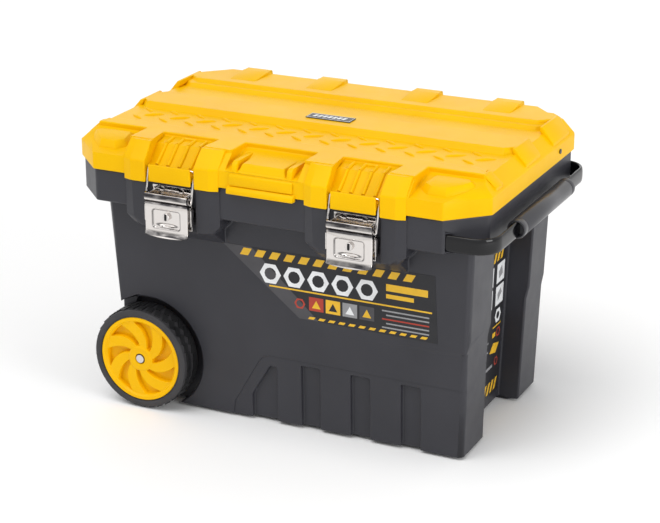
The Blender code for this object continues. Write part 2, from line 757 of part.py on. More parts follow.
def lower_step(wall, outward):
    # Cuts one long side of the lower tub back to the sunk wall, with a bevel up to the step line.
    sections = []
    for curve, depth in ((STEP_LOWER, LOWER_SINK), (STEP_UPPER, 0), (STEP_UPPER, -FAR / 2)):
        start, end = curve[0][1] + 0.001, curve[-1][1]
        far = RIM_HALF + FAR
        outline = ((-far, -FAR / 4), (-far, start), *curve, (far, end), (far, -FAR / 4))
        sections.append([Vector((x, wall(z) - outward * depth, z)) for x, z in outline])
    return loft(sections)


def front_groove(x, grow):
    # A groove in the lower front, slanted with the wall.
    shape = box(x - grow, x + GROOVE_WIDTH + grow, wall_front(0) - FAR,
                wall_front(0) + LOWER_SINK + GROOVE_SINK + grow,
                -FAR / 4, GROOVE_TOP + grow)
    return lean_with_front(shape)


def slanted_groove(grow):
    right = SLANT_RIGHT + grow
    outline = ((right, -FAR / 4), (right, SLANT_TOP + grow),
               (SLANT_RIGHT - SLANT_NARROW - grow, SLANT_TOP + grow),
               (SLANT_RIGHT - SLANT_WIDE - grow, SLANT_MID), (SLANT_RIGHT - SLANT_WIDE - grow, -FAR / 4))
    return lean_with_front(along_y(outline, wall_front(0) - FAR,
                                   wall_front(0) + LOWER_SINK + GROOVE_SINK + grow))


def lower_panel():
    # The shallow sunk panel, with its slanted and rounded left edge.
    right = wall_right(0) + FAR
    bend_x = PANEL_LEFT_HIGH + PANEL_BEND_RADIUS
    outline = [(right, -FAR / 4), (right, PANEL_CREASE_Z)]
    for step in range(6):
        turn = math.radians(90 + step * 13)
        outline.append((bend_x + PANEL_BEND_RADIUS * math.cos(turn),
                        PANEL_BEND_Z + (PANEL_CREASE_Z - PANEL_BEND_Z) * math.sin(turn)))
    outline.append((PANEL_LEFT_LOW, TUB_SKIRT_Z + 0.020))
    outline.append((PANEL_LEFT_LOW - 0.010, -FAR / 4))
    return lean_with_front(along_y(outline, wall_front(0) - FAR, wall_front(0) + LOWER_SINK + PANEL_SINK))


def foot(side):
    # A corner foot under each pillar.
    wall = wall_front if side < 0 else wall_back
    back_corner = TUB_CORNER if side < 0 else TUB_BACK_CORNER
    x1 = wall_right(0) - LOWER_SINK
    sections = []
    for z, tuck in ((0, FOOT_TUCK), (FOOT_TUCK_Z, 0), (FLOOR_Z + TUB_WALL / 2, 0)):
        outer = wall(z) - side * (LOWER_SINK + tuck + 0.0004)
        y0, y1 = sorted((outer, wall(0) - side * FOOT_WIDTH))
        sections.append(plan(x1 - FOOT_LENGTH, wall_right(z) - LOWER_SINK - tuck - 0.0004, y0, y1,
                             TUB_CORNER, back_corner, z))
    return loft(sections)


def handle_channel(centre_y):
    wide = box(ARM_INNER_X - STOP_LENGTH - CHANNEL_END_GAP, MOUTH_X, centre_y - CHANNEL_WIDTH / 2,
               centre_y + CHANNEL_WIDTH / 2, ARM_LOW - RUN_CLEARANCE, ARM_LOW + ARM_HEIGHT + RUN_CLEARANCE)
    half = ARM_THICKNESS / 2 + RUN_CLEARANCE
    mouth = box(MOUTH_X - 0.004, RIM_HALF + FAR, centre_y - half, centre_y + half,
                ARM_LOW - RUN_CLEARANCE, ARM_LOW + ARM_HEIGHT + RUN_CLEARANCE)
    return wide, mouth


def groove_solids(grow):
    return [front_groove(x, grow) for x in GROOVE_PLACES] + [slanted_groove(grow)]


def rim_cavity():
    # Above the tub the inside widens to a ledge, up to the walls that hold the handle channels.
    side = CHANNEL_WIDTH / 2 + CHANNEL_SKIN
    return loft([plan(wall_left(RIM_BOTTOM) + TUB_WALL, RIM_HALF - RIM_WALL, ARM_FRONT_Y + side,
                      ARM_BACK_Y - side,
                      RIM_FRONT_CUT, RIM_BACK_CUT, z) for z in (RIM_BOTTOM + TUB_WALL, RIM_TOP + FAR)])


def body_shell():
    tub = loft([tub_plan(TUB_SKIRT_Z, 0), tub_plan(RIM_BOTTOM + TUB_WALL / 2, 0)])
    tub = cut(tub, lower_step(wall_front, -1), lower_step(wall_back, 1))
    tub = cut(tub, pillar_step())
    shape = join(tub, rim_solid())
    shape = join(shape, *[latch_block(sign) for sign in (-1, 1)])
    shape = join(shape, foot(-1), foot(1))
    shape = cut(shape, lower_panel())
    shape = cut(shape, *groove_solids(0))
    shape = cut(shape, end_panel(0))
    shape = cut(shape, *[latch_bay(sign) for sign in (-1, 1)])
    shape = cut(shape, wheel_well(-1, 0), wheel_well(1, 0))
    # The underside is hollow up to the floor, and the groove walls reach down through it.
    skirt_inset = SKIRT_WALL + LOWER_SINK
    under = loft([tub_plan(-0.020, skirt_inset), tub_plan(FLOOR_Z, skirt_inset)])
    under = cut(under, *keep_copies())
    under = cut(under, *groove_solids(TUB_WALL))
    foot_keep = [box(wall_right(0) - FOOT_LENGTH - TUB_WALL, wall_right(0) + FAR,
                     *sorted((side * FAR, wall(0) - side * (FOOT_WIDTH + TUB_WALL))), -0.1, 0.1)
                 for side, wall in ((-1, wall_front), (1, wall_back))]
    shape = cut(shape, cut(under, *foot_keep))
    # The inside, with the wheel wells, end panel and grooves standing into it.
    full = TUB_WALL + LOWER_SINK
    inside = loft([tub_plan(FLOOR_Z + TUB_WALL, full), tub_plan(WALL_THIN_Z, full),
                   tub_plan(WALL_FULL_Z, TUB_WALL),
                   tub_plan(RIM_TOP + 0.010, TUB_WALL)])
    inside = cut(inside, *keep_copies())
    inside = cut(inside, *groove_solids(TUB_WALL))
    shape = cut(shape, inside)
    shape = cut(shape, rim_cavity())
    shape = cut(shape, *[block_pocket(sign) for sign in (-1, 1)])
    shape = cut(shape, *handle_channel(ARM_FRONT_Y))
    shape = cut(shape, *handle_channel(ARM_BACK_Y))
    # The overhang at the wheel end is hollow underneath.
    hollow = box(-RIM_HALF + TUB_WALL, wall_left(RIM_BOTTOM) - TUB_WALL,
                 RIM_FRONT + LID_FRONT_CHAMFER + 0.004,
                 RIM_BACK - LID_BACK_CHAMFER - 0.004, RIM_BOTTOM - FAR, RIM_TOP - TUB_WALL)
    shape = cut(shape, hollow)
    bosses = []
    bores = []
    for side in (-1, 1):
        boss_end = WHEEL_INNER - WASHER_THICKNESS - 2 * SEAT_GAP
        bosses.append(rod("Y",
                          (WHEEL_X,
                           WHEEL_RADIUS), *sorted((side * (WELL_BACK - TUB_WALL / 2), side * boss_end)),
                          BOSS_RADIUS))
        bores.append(rod("Y",
                         (WHEEL_X,
                          WHEEL_RADIUS), *sorted((side * (WELL_BACK - FAR / 4), side * (WHEEL_FACE + FAR))),
                         AXLE_RADIUS + RUN_CLEARANCE))
    shape = cut(join(shape, *bosses), *bores)
    holes = [fastener_hole("Y", (sign * LATCH_X + side * RIVET_SPREAD, BASE_RIVET_Z), BAY_FLOOR, -1)
             for sign in (-1, 1) for side in (-1, 1)]
    holes += [fastener_hole("Y", (x, HINGE_BODY_MID), RIM_BACK, 1) for _, _, x in hinge_fastener_places()]
    place("body_shell", cut(shape, *holes), CHARCOAL)


def keep_copies():
    return [wheel_well(side, TUB_WALL) for side in (-1, 1)] + [end_panel(TUB_WALL)]


BASE_TOP = LID_BOTTOM - KEEPER_DROP - BASE_TOP_GAP
BASE_RIVET_Z = BASE_TOP - RIVET_DROP
BASE_FACE = BAY_FLOOR - SEAT_GAP - SHEET
LEVER_OUTER = PIVOT_Y - LEVER_FACE - SHEET
LOCK_Z = PIVOT_Z - LOCK_DROP


def latch_base(name, middle):
    back = BAY_FLOOR - SEAT_GAP
    shape = box(middle - BASE_HALF, middle + BASE_HALF, BASE_FACE, back, BASE_TOP - BASE_HEIGHT, BASE_TOP)
    ears = []
    for side in (-1, 1):
        x0, x1 = sorted((middle + side * (EAR_OFFSET - SHEET / 2), middle + side * (EAR_OFFSET + SHEET / 2)))
        ears.append(box(x0, x1, PIVOT_Y - EAR_REACH, BASE_FACE + SHEET / 2,
                        PIVOT_Z - EAR_HALF_HEIGHT, PIVOT_Z + EAR_REACH))
    shape = join(shape, *ears)
    bore = rod("X", (PIVOT_Y, PIVOT_Z), middle - BASE_HALF - 0.01, middle + BASE_HALF + 0.01,
               PIVOT_PIN_RADIUS + RUN_CLEARANCE, SMALL_STEPS)
    holes = [fastener_hole("Y", (middle + side * RIVET_SPREAD, BASE_RIVET_Z), BASE_FACE,
                           -1) for side in (-1, 1)]
    place(name, cut(shape, bore, *holes), STEEL)


def latch_lever(name, middle):
    # One block, cut back to a face plate, two side flanges and a finger lip.
    low = PIVOT_Z - LEVER_LENGTH
    top = PIVOT_Z + LEVER_TOP
    inside = LEVER_OUTER + SHEET
    shape = box(middle - LEVER_HALF, middle + LEVER_HALF, inside - LEVER_LIP, inside + LEVER_FLANGE_DEPTH,
                low, top)
    between = box(middle - LEVER_HALF + SHEET, middle + LEVER_HALF - SHEET, inside, inside + FAR, low - FAR,
                  top + FAR)
    below = box(middle - LEVER_HALF - FAR, middle + LEVER_HALF + FAR, inside, inside + FAR,
                low - FAR, PIVOT_Z - LEVER_FLANGE_LENGTH)
    ahead = box(middle - LEVER_HALF - FAR, middle + LEVER_HALF + FAR, inside - FAR, LEVER_OUTER,
                low + 2 * SHEET, top + FAR)
    shape = cut(cut(cut(shape, between), below), ahead)
    reach = LEVER_HALF + 0.01
    bore = rod("X", (PIVOT_Y, PIVOT_Z), middle - reach, middle + reach, PIVOT_PIN_RADIUS + RUN_CLEARANCE,
               SMALL_STEPS)
    bail = rod("X", (PIVOT_Y, PIVOT_Z - BAIL_OFFSET), middle - reach, middle + reach,
               BAIL_WIRE_RADIUS + BAIL_HOLE_CLEARANCE, SMALL_STEPS)
    lock = rod("Y", (middle, LOCK_Z), LEVER_OUTER - 0.01, LEVER_OUTER + 0.01, LOCK_RADIUS + RUN_CLEARANCE)
    place(name, cut(shape, bore, bail, lock), STEEL, (middle, PIVOT_Y, PIVOT_Z))


def latch_bail(name, middle):
    # A bent wire: stub ends in the lever, two sides and a top bar.
    foot_z = PIVOT_Z - BAIL_OFFSET
    lean = Vector((0, BAIL_LEAN, BAIL_HEIGHT)).normalized()
    right = []
    stub = LEVER_HALF - SHEET - 0.001
    base = Vector((BAIL_HALF, PIVOT_Y, foot_z))
    top = base + Vector((0, BAIL_LEAN, BAIL_HEIGHT))
    right.append(Vector((stub, PIVOT_Y, foot_z)))
    for corner, before, after in ((base, Vector((-1, 0, 0)), lean), (top, -lean, Vector((-1, 0, 0)))):
        reach = min(BAIL_BEND, (BAIL_HALF - stub) * 0.6) if corner is base else BAIL_BEND
        for share in (0.0, 0.3, 0.7, 1.0):
            start = corner + before * reach * (1 - share)
            end = corner + after * reach * share
            right.append(start * (1 - share) + end * share)
    points = right + [Vector((-spot.x, spot.y, spot.z)) for spot in reversed(right)]
    curve = bpy.data.curves.new("wire", "CURVE")
    curve.dimensions = "3D"
    curve.bevel_depth = BAIL_WIRE_RADIUS
    curve.bevel_resolution = 2
    curve.use_fill_caps = True
    spline = curve.splines.new("POLY")
    spline.points.add(len(points) - 1)
    for spot, point in zip(spline.points, points):
        spot.co = (middle + point.x, point.y, point.z, 1)
    holder = bpy.data.objects.new("wire", curve)
    bpy.context.scene.collection.objects.link(holder)
    place(name, take(holder), STEEL, (middle, PIVOT_Y, foot_z), angle=0.9)


def lock_pieces(side_name, middle):
    face = LEVER_OUTER - LOCK_PROUD
    barrel = rod("Y", (middle, LOCK_Z), face, face + LOCK_LENGTH, LOCK_RADIUS)
    key_way = box(middle - 0.0008, middle + 0.0008, face - 0.001, face + 0.004, LOCK_Z - 0.0035,
                  LOCK_Z + 0.0035)
    place("lock_plug_" + side_name, cut(barrel, key_way), STEEL, (middle, face, LOCK_Z), angle=0.6)
    back = face + LOCK_LENGTH + SEAT_GAP
    arm = box(middle - CAM_HALF, middle + CAM_LENGTH, back, back + SHEET, LOCK_Z - CAM_HALF,
              LOCK_Z + CAM_HALF)
    place("lock_cam_" + side_name, arm, STEEL, (middle, back, LOCK_Z))


def latch(side_name, sign):
    middle = sign * LATCH_X
    latch_base("latch_base_" + side_name, middle)
    latch_lever("latch_lever_" + side_name, middle)
    latch_bail("latch_bail_" + side_name, middle)
    half = LEVER_HALF + SEAT_GAP
    pin = rod("X", (PIVOT_Y, PIVOT_Z), middle - half, middle + half, PIVOT_PIN_RADIUS, SMALL_STEPS)
    place("latch_pin_" + side_name, pin, STEEL, angle=0.6)
    lock_pieces(side_name, middle)
    for side, word in ((-1, "a"), (1, "b")):
        fastener("latch_rivet_" + side_name + "_" + word, "Y", (middle + side * RIVET_SPREAD, BASE_RIVET_Z),
                 BASE_FACE, -1, HEAD_RADIUS, STEEL)


def knuckles(middle, spans):
    return [rod("X", (HINGE_Y, HINGE_Z), middle + start, middle + end, KNUCKLE_RADIUS, SMALL_STEPS)
            for start, end in spans]


def hinge(side_name, sign):
    middle = sign * HINGE_X
    half = HINGE_LENGTH / 2
    third = HINGE_LENGTH / 6
    outer = ((-half, -third - KNUCKLE_GAP / 2), (third + KNUCKLE_GAP / 2, half))
    inner = ((-third + KNUCKLE_GAP / 2, third - KNUCKLE_GAP / 2),)
    bore = HINGE_PIN_RADIUS + RUN_CLEARANCE
    # Body leaf: a plate on the rim, bent out to the two outer knuckles.
    face = RIM_BACK + SEAT_GAP
    top = HINGE_Z - KNUCKLE_RADIUS * 0.4
    leaf = box(middle - half, middle + half, face, face + HINGE_SHEET,
               HINGE_BODY_MID - HINGE_BODY_HEIGHT / 2,
               HINGE_Z - KNUCKLE_RADIUS)
    tabs = [box(middle + start, middle + end, face + HINGE_SHEET / 2, HINGE_Y,
                HINGE_Z - KNUCKLE_RADIUS - HINGE_SHEET,
                top) for start, end in outer]
    leaf = join(leaf, *tabs)
    leaf = join(leaf, *knuckles(middle, outer))
    holes = [fastener_hole("Y", (middle + side * SCREW_SPREAD, HINGE_BODY_MID), face, 1) for side in (-1, 1)]
    leaf = cut(leaf,
               rod("X", (HINGE_Y, HINGE_Z), middle - half - 0.01, middle + half + 0.01, bore,
                   SMALL_STEPS), *holes)
    place("hinge_body_leaf_" + side_name, leaf, STEEL)
    # Lid leaf: a plate on the skirt with the middle knuckle.
    lid_face = LID_BACK + SEAT_GAP
    low = HINGE_LID_MID - HINGE_LID_HEIGHT / 2
    lid_leaf = box(middle - half, middle + half, lid_face, lid_face + HINGE_SHEET, low,
                   low + HINGE_LID_HEIGHT)
    start, end = inner[0]
    tab = box(middle + start, middle + end, lid_face + SEAT_GAP, lid_face + HINGE_SHEET + 0.001, HINGE_Z,
              low + 0.002)
    lid_leaf = join(join(lid_leaf, tab), *knuckles(middle, inner))
    lid_holes = [fastener_hole("Y", (middle + side * SCREW_SPREAD, HINGE_LID_MID), lid_face,
                               1) for side in (-1, 1)]
    lid_leaf = cut(lid_leaf, rod("X", (HINGE_Y, HINGE_Z), middle - half, middle + half, bore, SMALL_STEPS),
                   *lid_holes)
    place("hinge_lid_leaf_" + side_name, lid_leaf, STEEL, (0, HINGE_Y, HINGE_Z))
    pin = rod("X", (HINGE_Y, HINGE_Z), middle - half - 0.001, middle + half + 0.001, HINGE_PIN_RADIUS,
              SMALL_STEPS)
    place("hinge_pin_" + side_name, pin, STEEL, angle=0.6)
    for side, word in ((-1, "a"), (1, "b")):
        x = middle + side * SCREW_SPREAD
        fastener("hinge_screw_body_" + side_name + "_" + word, "Y", (x, HINGE_BODY_MID), face + HINGE_SHEET,
                 1,
                 HEAD_RADIUS, STEEL)
        fastener("hinge_screw_lid_" + side_name + "_" + word, "Y", (x, HINGE_LID_MID),
                 lid_face + HINGE_SHEET, 1,
                 HEAD_RADIUS, STEEL)


def handle_outline():
    # Both edges of the bent strip, worked out from its middle line.
    middle = [Vector((ARM_INNER_X, ARM_FRONT_Y))]
    corner_x = HANDLE_X - HANDLE_BEND
    for step in range(9):
        turn = math.radians(-90 + step * 90 / 8)
        middle.append(Vector((corner_x + HANDLE_BEND * math.cos(turn),
                              ARM_FRONT_Y + HANDLE_BEND + HANDLE_BEND * math.sin(turn))))
    far_side = [Vector((spot.x, 2 * HANDLE_MID_Y - spot.y)) for spot in reversed(middle)]
    middle += far_side
    left = []
    right = []
    for index, spot in enumerate(middle):
        before = middle[max(index - 1, 0)]
        after = middle[min(index + 1, len(middle) - 1)]
        along = (after - before).normalized()
        across = Vector((-along.y, along.x)) * ARM_THICKNESS / 2
        left.append(spot + across)
        right.append(spot - across)
    return [(spot.x, spot.y) for spot in right + left[::-1]]


def handle():
    bar = along_z(handle_outline(), ARM_LOW, ARM_LOW + ARM_HEIGHT)
    origin = (HANDLE_X, HANDLE_MID_Y, ARM_MID_Z)
    place("handle_bar", bar, BLACK, origin, angle=0.6)
    half = GRIP_LENGTH / 2
    sleeve = rod("Y", (HANDLE_X, ARM_MID_Z), HANDLE_MID_Y - half, HANDLE_MID_Y + half, GRIP_RADIUS)
    hole = box(HANDLE_X - ARM_THICKNESS / 2 - RUN_CLEARANCE, HANDLE_X + ARM_THICKNESS / 2 + RUN_CLEARANCE,
               HANDLE_MID_Y - GRIP_LENGTH, HANDLE_MID_Y + GRIP_LENGTH,
               ARM_LOW - RUN_CLEARANCE, ARM_LOW + ARM_HEIGHT + RUN_CLEARANCE)
    place("handle_grip", cut(sleeve, hole), CHARCOAL, origin, angle=0.6)
    for side_name, y in (("front", ARM_FRONT_Y), ("back", ARM_BACK_Y)):
        end = ARM_INNER_X - SEAT_GAP
        stop = box(end - STOP_LENGTH, end, y - STOP_THICKNESS / 2, y + STOP_THICKNESS / 2, ARM_LOW,
                   ARM_LOW + ARM_HEIGHT)
        place("handle_stop_" + side_name, stop, BLACK, origin)


def hub_pocket(index):
    # One curved pocket, swept round the hub as it goes out.
    base = 2 * math.pi * index / HUB_POCKETS
    outline = []
    steps = 5
    for step in range(steps + 1):
        share = step / steps
        radius = POCKET_INNER + (POCKET_OUTER - POCKET_INNER) * share
        outline.append((radius, base + POCKET_SWEEP * share - POCKET_HALF_ANGLE * (0.5 + 0.5 * share)))
    for step in range(steps, -1, -1):
        share = step / steps
        radius = POCKET_INNER + (POCKET_OUTER - POCKET_INNER) * share
        outline.append((radius, base + POCKET_SWEEP * share + POCKET_HALF_ANGLE * (0.5 + 0.5 * share) * 0.6))
    return [(radius * math.cos(turn), radius * math.sin(turn)) for radius, turn in outline]


def wheel(side_name, side):
    # Shapes are made for the front wheel, outer face at y = 0, and turned for the back.
    bore = AXLE_RADIUS + RUN_CLEARANCE
    ring = HUB_RADIUS - HUB_RING
    profile = [(bore, CAP_SINK), (CAP_RADIUS + RUN_CLEARANCE, CAP_SINK), (CAP_RADIUS + RUN_CLEARANCE, 0),
               (HUB_RADIUS, 0), (HUB_RADIUS, WHEEL_WIDTH), (ring, WHEEL_WIDTH), (ring, HUB_PLATE),
               (HUB_BOSS_RADIUS, HUB_PLATE), (HUB_BOSS_RADIUS, WHEEL_WIDTH), (bore, WHEEL_WIDTH)]
    hub = turned(profile, 48)
    hub = cut(hub, *[along_y(hub_pocket(index), -0.01, POCKET_DEPTH) for index in range(HUB_POCKETS)])
    inner = HUB_RADIUS + RUN_CLEARANCE
    edge = TYRE_SHOULDER
    tyre = turned([(inner, 0), (WHEEL_RADIUS - edge, 0), (WHEEL_RADIUS - edge * 0.3, edge * 0.3),
                   (WHEEL_RADIUS, edge),
                   (WHEEL_RADIUS, WHEEL_WIDTH - edge), (WHEEL_RADIUS - edge * 0.3, WHEEL_WIDTH - edge * 0.3),
                   (WHEEL_RADIUS - edge, WHEEL_WIDTH), (inner, WHEEL_WIDTH)], 48)
    washer = turned([(bore, WHEEL_WIDTH + SEAT_GAP), (WASHER_RADIUS, WHEEL_WIDTH + SEAT_GAP),
                     (WASHER_RADIUS, WHEEL_WIDTH + SEAT_GAP + WASHER_THICKNESS),
                     (bore, WHEEL_WIDTH + SEAT_GAP + WASHER_THICKNESS)], ROUND_STEPS)
    cap_back = CAP_SINK - SEAT_GAP
    cap = turned([(bore, cap_back - CAP_THICKNESS), (CAP_RADIUS, cap_back - CAP_THICKNESS),
                  (CAP_RADIUS, cap_back),
                  (bore, cap_back)], ROUND_STEPS)
    axle_end = WHEEL_FACE - WELL_BACK + TUB_WALL + NUT_THICKNESS + AXLE_INSIDE / 2
    axle = rod("Y", (0, 0), 0.0005, axle_end, AXLE_RADIUS)
    nut_face = WHEEL_FACE - WELL_BACK + TUB_WALL + SEAT_GAP
    corners = [(NUT_RADIUS * math.cos(turn * math.pi / 3),
                NUT_RADIUS * math.sin(turn * math.pi / 3)) for turn in range(6)]
    nut = cut(along_y(corners, nut_face, nut_face + NUT_THICKNESS),
              rod("Y", (0, 0), nut_face - 0.01, nut_face + NUT_THICKNESS + 0.01, bore))
    spot = (WHEEL_X, side * WHEEL_FACE, WHEEL_RADIUS)
    for name, shape, look in (("wheel_hub_", hub, YELLOW), ("tyre_", tyre, RUBBER),
                              ("axle_washer_", washer, STEEL),
                              ("axle_cap_", cap, STEEL), ("axle_", axle, STEEL), ("axle_nut_", nut, STEEL)):
        if side > 0:
            bmesh.ops.rotate(shape, cent=(0, 0, 0), matrix=Matrix.Rotation(math.pi, 3, "Z"),
                             verts=shape.verts)
        place(name + side_name, moved(shape, *spot), look, spot, angle=0.6)


def badge():
    top = TREAD_Z + RIDGE_RISE + SEAT_GAP
    middle = (RIDGE_FRONT + RIDGE_BACK) / 2
    shape = box(BADGE_X - BADGE_LENGTH / 2, BADGE_X + BADGE_LENGTH / 2, middle - BADGE_DEPTH / 2,
                middle + BADGE_DEPTH / 2, top, top + BADGE_THICKNESS)
    place("lid_badge", shape, FILM, (0, HINGE_Y, HINGE_Z))


def main():
    clear_scene()
    body_shell()
    lid_shell()
    badge()
    for side_name, sign in (("left", -1), ("right", 1)):
        latch(side_name, sign)
        hinge(side_name, sign)
        fastener("stay_rivet_" + side_name, "X", (STAY_RIVET_Y, LID_BOTTOM + STAY_RIVET_RISE),
                 sign * LID_HALF, sign,
                 STAY_HEAD_RADIUS, BLACK)
    handle()
    wheel("front", -1)
    wheel("back", 1)
    # The whole chest is moved so that the frame starts at the middle of its footprint.
    root = bpy.data.objects.new("tool_chest_root", None)
    root.location = (-MIDDLE_X, -MIDDLE_Y, 0)
    parts.objects.link(root)
    for item in parts.objects:
        if item is not root:
            item.parent = root


main()
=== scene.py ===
import json
import math

import bmesh
import bpy
from mathutils import Matrix, Vector

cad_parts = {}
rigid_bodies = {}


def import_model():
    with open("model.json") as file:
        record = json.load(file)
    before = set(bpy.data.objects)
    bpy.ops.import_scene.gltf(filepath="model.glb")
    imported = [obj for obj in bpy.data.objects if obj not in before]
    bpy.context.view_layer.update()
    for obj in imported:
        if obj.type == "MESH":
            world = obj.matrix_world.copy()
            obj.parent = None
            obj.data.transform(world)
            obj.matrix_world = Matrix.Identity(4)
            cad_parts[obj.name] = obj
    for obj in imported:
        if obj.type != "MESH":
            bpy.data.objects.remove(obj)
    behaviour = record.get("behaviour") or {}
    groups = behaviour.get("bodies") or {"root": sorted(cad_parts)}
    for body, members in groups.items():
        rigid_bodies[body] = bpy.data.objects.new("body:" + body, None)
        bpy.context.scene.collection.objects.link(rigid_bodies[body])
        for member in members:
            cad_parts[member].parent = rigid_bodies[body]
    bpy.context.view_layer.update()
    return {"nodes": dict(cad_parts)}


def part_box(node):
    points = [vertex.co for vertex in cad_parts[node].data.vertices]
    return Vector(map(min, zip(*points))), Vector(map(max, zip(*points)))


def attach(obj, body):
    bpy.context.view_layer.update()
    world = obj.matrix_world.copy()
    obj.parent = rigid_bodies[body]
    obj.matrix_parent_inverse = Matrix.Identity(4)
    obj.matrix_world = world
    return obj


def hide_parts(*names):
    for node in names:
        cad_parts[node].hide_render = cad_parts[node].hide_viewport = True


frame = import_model()
nodes = frame["nodes"]
scene = bpy.context.scene

# The chest is laid out from the middle of its lid, with the lid's back edge 200 mm behind that.
lidLow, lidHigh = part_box("lid_shell")
lidBack = 0.200
home = Vector(((lidLow.x + lidHigh.x) / 2, lidHigh.y - lidBack, 0))
latchSides = (("Left", -1), ("Right", 1))
wheelSides = (("front", -1), ("back", 1))


def at(x, y, z):
    return home + Vector((x, y, z))


def ease(low, high, value):
    share = min(max((value - low) / (high - low), 0), 1)
    return share * share * (3 - 2 * share)


class Wire:
    # A socket in a node tree; sums on it add Math nodes.
    def __init__(self, tree, socket):
        self.tree = tree
        self.socket = socket

    def maths(self, operation, first, second):
        return addNode(self.tree, "ShaderNodeMath", {"operation": operation}, {0: first, 1: second})

    def __add__(self, other):
        return self.maths("ADD", self, other)

    def __radd__(self, other):
        return self.maths("ADD", other, self)

    def __sub__(self, other):
        return self.maths("SUBTRACT", self, other)

    def __rsub__(self, other):
        return self.maths("SUBTRACT", other, self)

    def __mul__(self, other):
        return self.maths("MULTIPLY", self, other)

    def __rmul__(self, other):
        return self.maths("MULTIPLY", other, self)

    def __abs__(self):
        return self.maths("ABSOLUTE", self, 0)


def addNode(tree, kind, settings, inputs, output=0):
    # Any node: its settings first, then a value or a wire for each socket.
    made = tree.nodes.new(kind)
    for name, value in settings.items():
        if name == "stops":
            stops = made.color_ramp.elements
            for index, (place, shade) in enumerate(value):
                stop = stops[index] if index < 2 else stops.new(place)
                stop.position = place
                stop.color = (shade, shade, shade, 1)
        else:
            setattr(made, name, value)
    for name, value in inputs.items():
        if isinstance(value, Wire):
            tree.links.new(value.socket, made.inputs[name])
        else:
            made.inputs[name].default_value = value
    return Wire(tree, made.outputs[output])


def startMaterial(name, fixed):
    # A Principled material with its constant sockets set straight on the shader.
    material = bpy.data.materials.new(name)
    material.use_nodes = True
    shader = material.node_tree.nodes["Principled BSDF"]
    for socket, value in fixed.items():
        shader.inputs[socket].default_value = value
    return material, material.node_tree, shader


def feed(tree, shader, links):
    for socket, wire in links.items():
        tree.links.new(wire.socket, shader.inputs[socket])


def noiseOf(tree, scale, detail, stretch=(1, 1, 1)):
    place = addNode(tree, "ShaderNodeTexCoord", {}, {}, "Object")
    if stretch != (1, 1, 1):
        place = addNode(tree, "ShaderNodeMapping", {}, {"Vector": place, "Scale": stretch})
    return addNode(tree, "ShaderNodeTexNoise", {}, {"Vector": place, "Scale": scale, "Detail": detail}, "Fac")


def mixColour(tree, factor, first, second):
    inputs = {0: factor, 6: (*first, 1), 7: (*second, 1)}
    return addNode(tree, "ShaderNodeMix", {"data_type": "RGBA"}, inputs, 2)


def rampOf(tree, factor, low, high):
    return addNode(tree, "ShaderNodeValToRGB", {"stops": ((low, 0), (high, 1))}, {"Fac": factor}, "Color")


def bumpOf(tree, height, strength, distance):
    inputs = {"Height": height, "Strength": strength, "Distance": distance}
    return addNode(tree, "ShaderNodeBump", {}, inputs, "Normal")


def unevenRough(noise, look):
    # Roughness that wanders about its middle value.
    return (noise - 0.5) * look["spread"] + look["rough"]


# Moulded plastics: a fine spark-eroded grain, a faint mottle and a little polish where hands rub
plastics = {
    "yellowPlastic": {"colour": (0.90, 0.52, 0.001), "shade": (0.86, 0.47, 0.001), "rough": 0.34,
                      "spread": 0.14, "grain": 1500, "depth": 0.00008, "strength": 0.30, "specular": 0.07},
    "hubPlastic": {"colour": (0.90, 0.50, 0.001), "shade": (0.86, 0.46, 0.001), "rough": 0.26, "spread": 0.10,
                   "grain": 2200, "depth": 0.00004, "strength": 0.15, "specular": 0.12},
    "charcoalPlastic": {"colour": (0.033, 0.033, 0.040), "shade": (0.027, 0.027, 0.033), "rough": 0.42,
                        "spread": 0.16, "grain": 1300, "depth": 0.00012, "strength": 0.40, "specular": 0.33},
    "gripPlastic": {"colour": (0.040, 0.040, 0.046), "shade": (0.033, 0.033, 0.038), "rough": 0.30,
                    "spread": 0.12, "grain": 2400, "depth": 0.00004, "strength": 0.20, "specular": 0.5},
    "blackPlastic": {"colour": (0.004, 0.004, 0.005), "shade": (0.003, 0.003, 0.004), "rough": 0.11,
                     "spread": 0.06, "grain": 1800, "depth": 0.00004, "strength": 0.10, "specular": 0.34},
}
mould = {"cloud": (9, 3), "mottled": (0.35, 0.70), "rub": (38, 4), "grainDetail": 2}


def mouldedPlastic(name, look):
    material, tree, shader = startMaterial(name, {"Specular IOR Level": look["specular"]})
    cloud = noiseOf(tree, *mould["cloud"])
    grain = noiseOf(tree, look["grain"], mould["grainDetail"])
    rub = noiseOf(tree, *mould["rub"])
    mottled = rampOf(tree, cloud, *mould["mottled"])
    feed(tree, shader, {
        "Base Color": mixColour(tree, mottled, look["colour"], look["shade"]),
        "Roughness": unevenRough(rub, look),
        "Normal": bumpOf(tree, grain, look["strength"], look["depth"])})
    return material


steels = {
    "brightSteel": {"colour": (0.66, 0.63, 0.61), "shade": (0.34, 0.325, 0.315), "rough": 0.13,
                    "spread": 0.10, "streak": (22, 22, 95), "from": 0.50, "to": 0.78, "wave": 0.0016,
                    "strength": 0.22},
    "dullSteel": {"colour": (0.56, 0.56, 0.57), "shade": (0.40, 0.40, 0.41), "rough": 0.34, "spread": 0.16,
                  "streak": (120, 30, 30), "from": 0.45, "to": 0.75, "wave": 0.0005, "strength": 0.08},
}
press = {"streak": (1, 3), "ripple": (60, 1), "streakRise": 0.3}


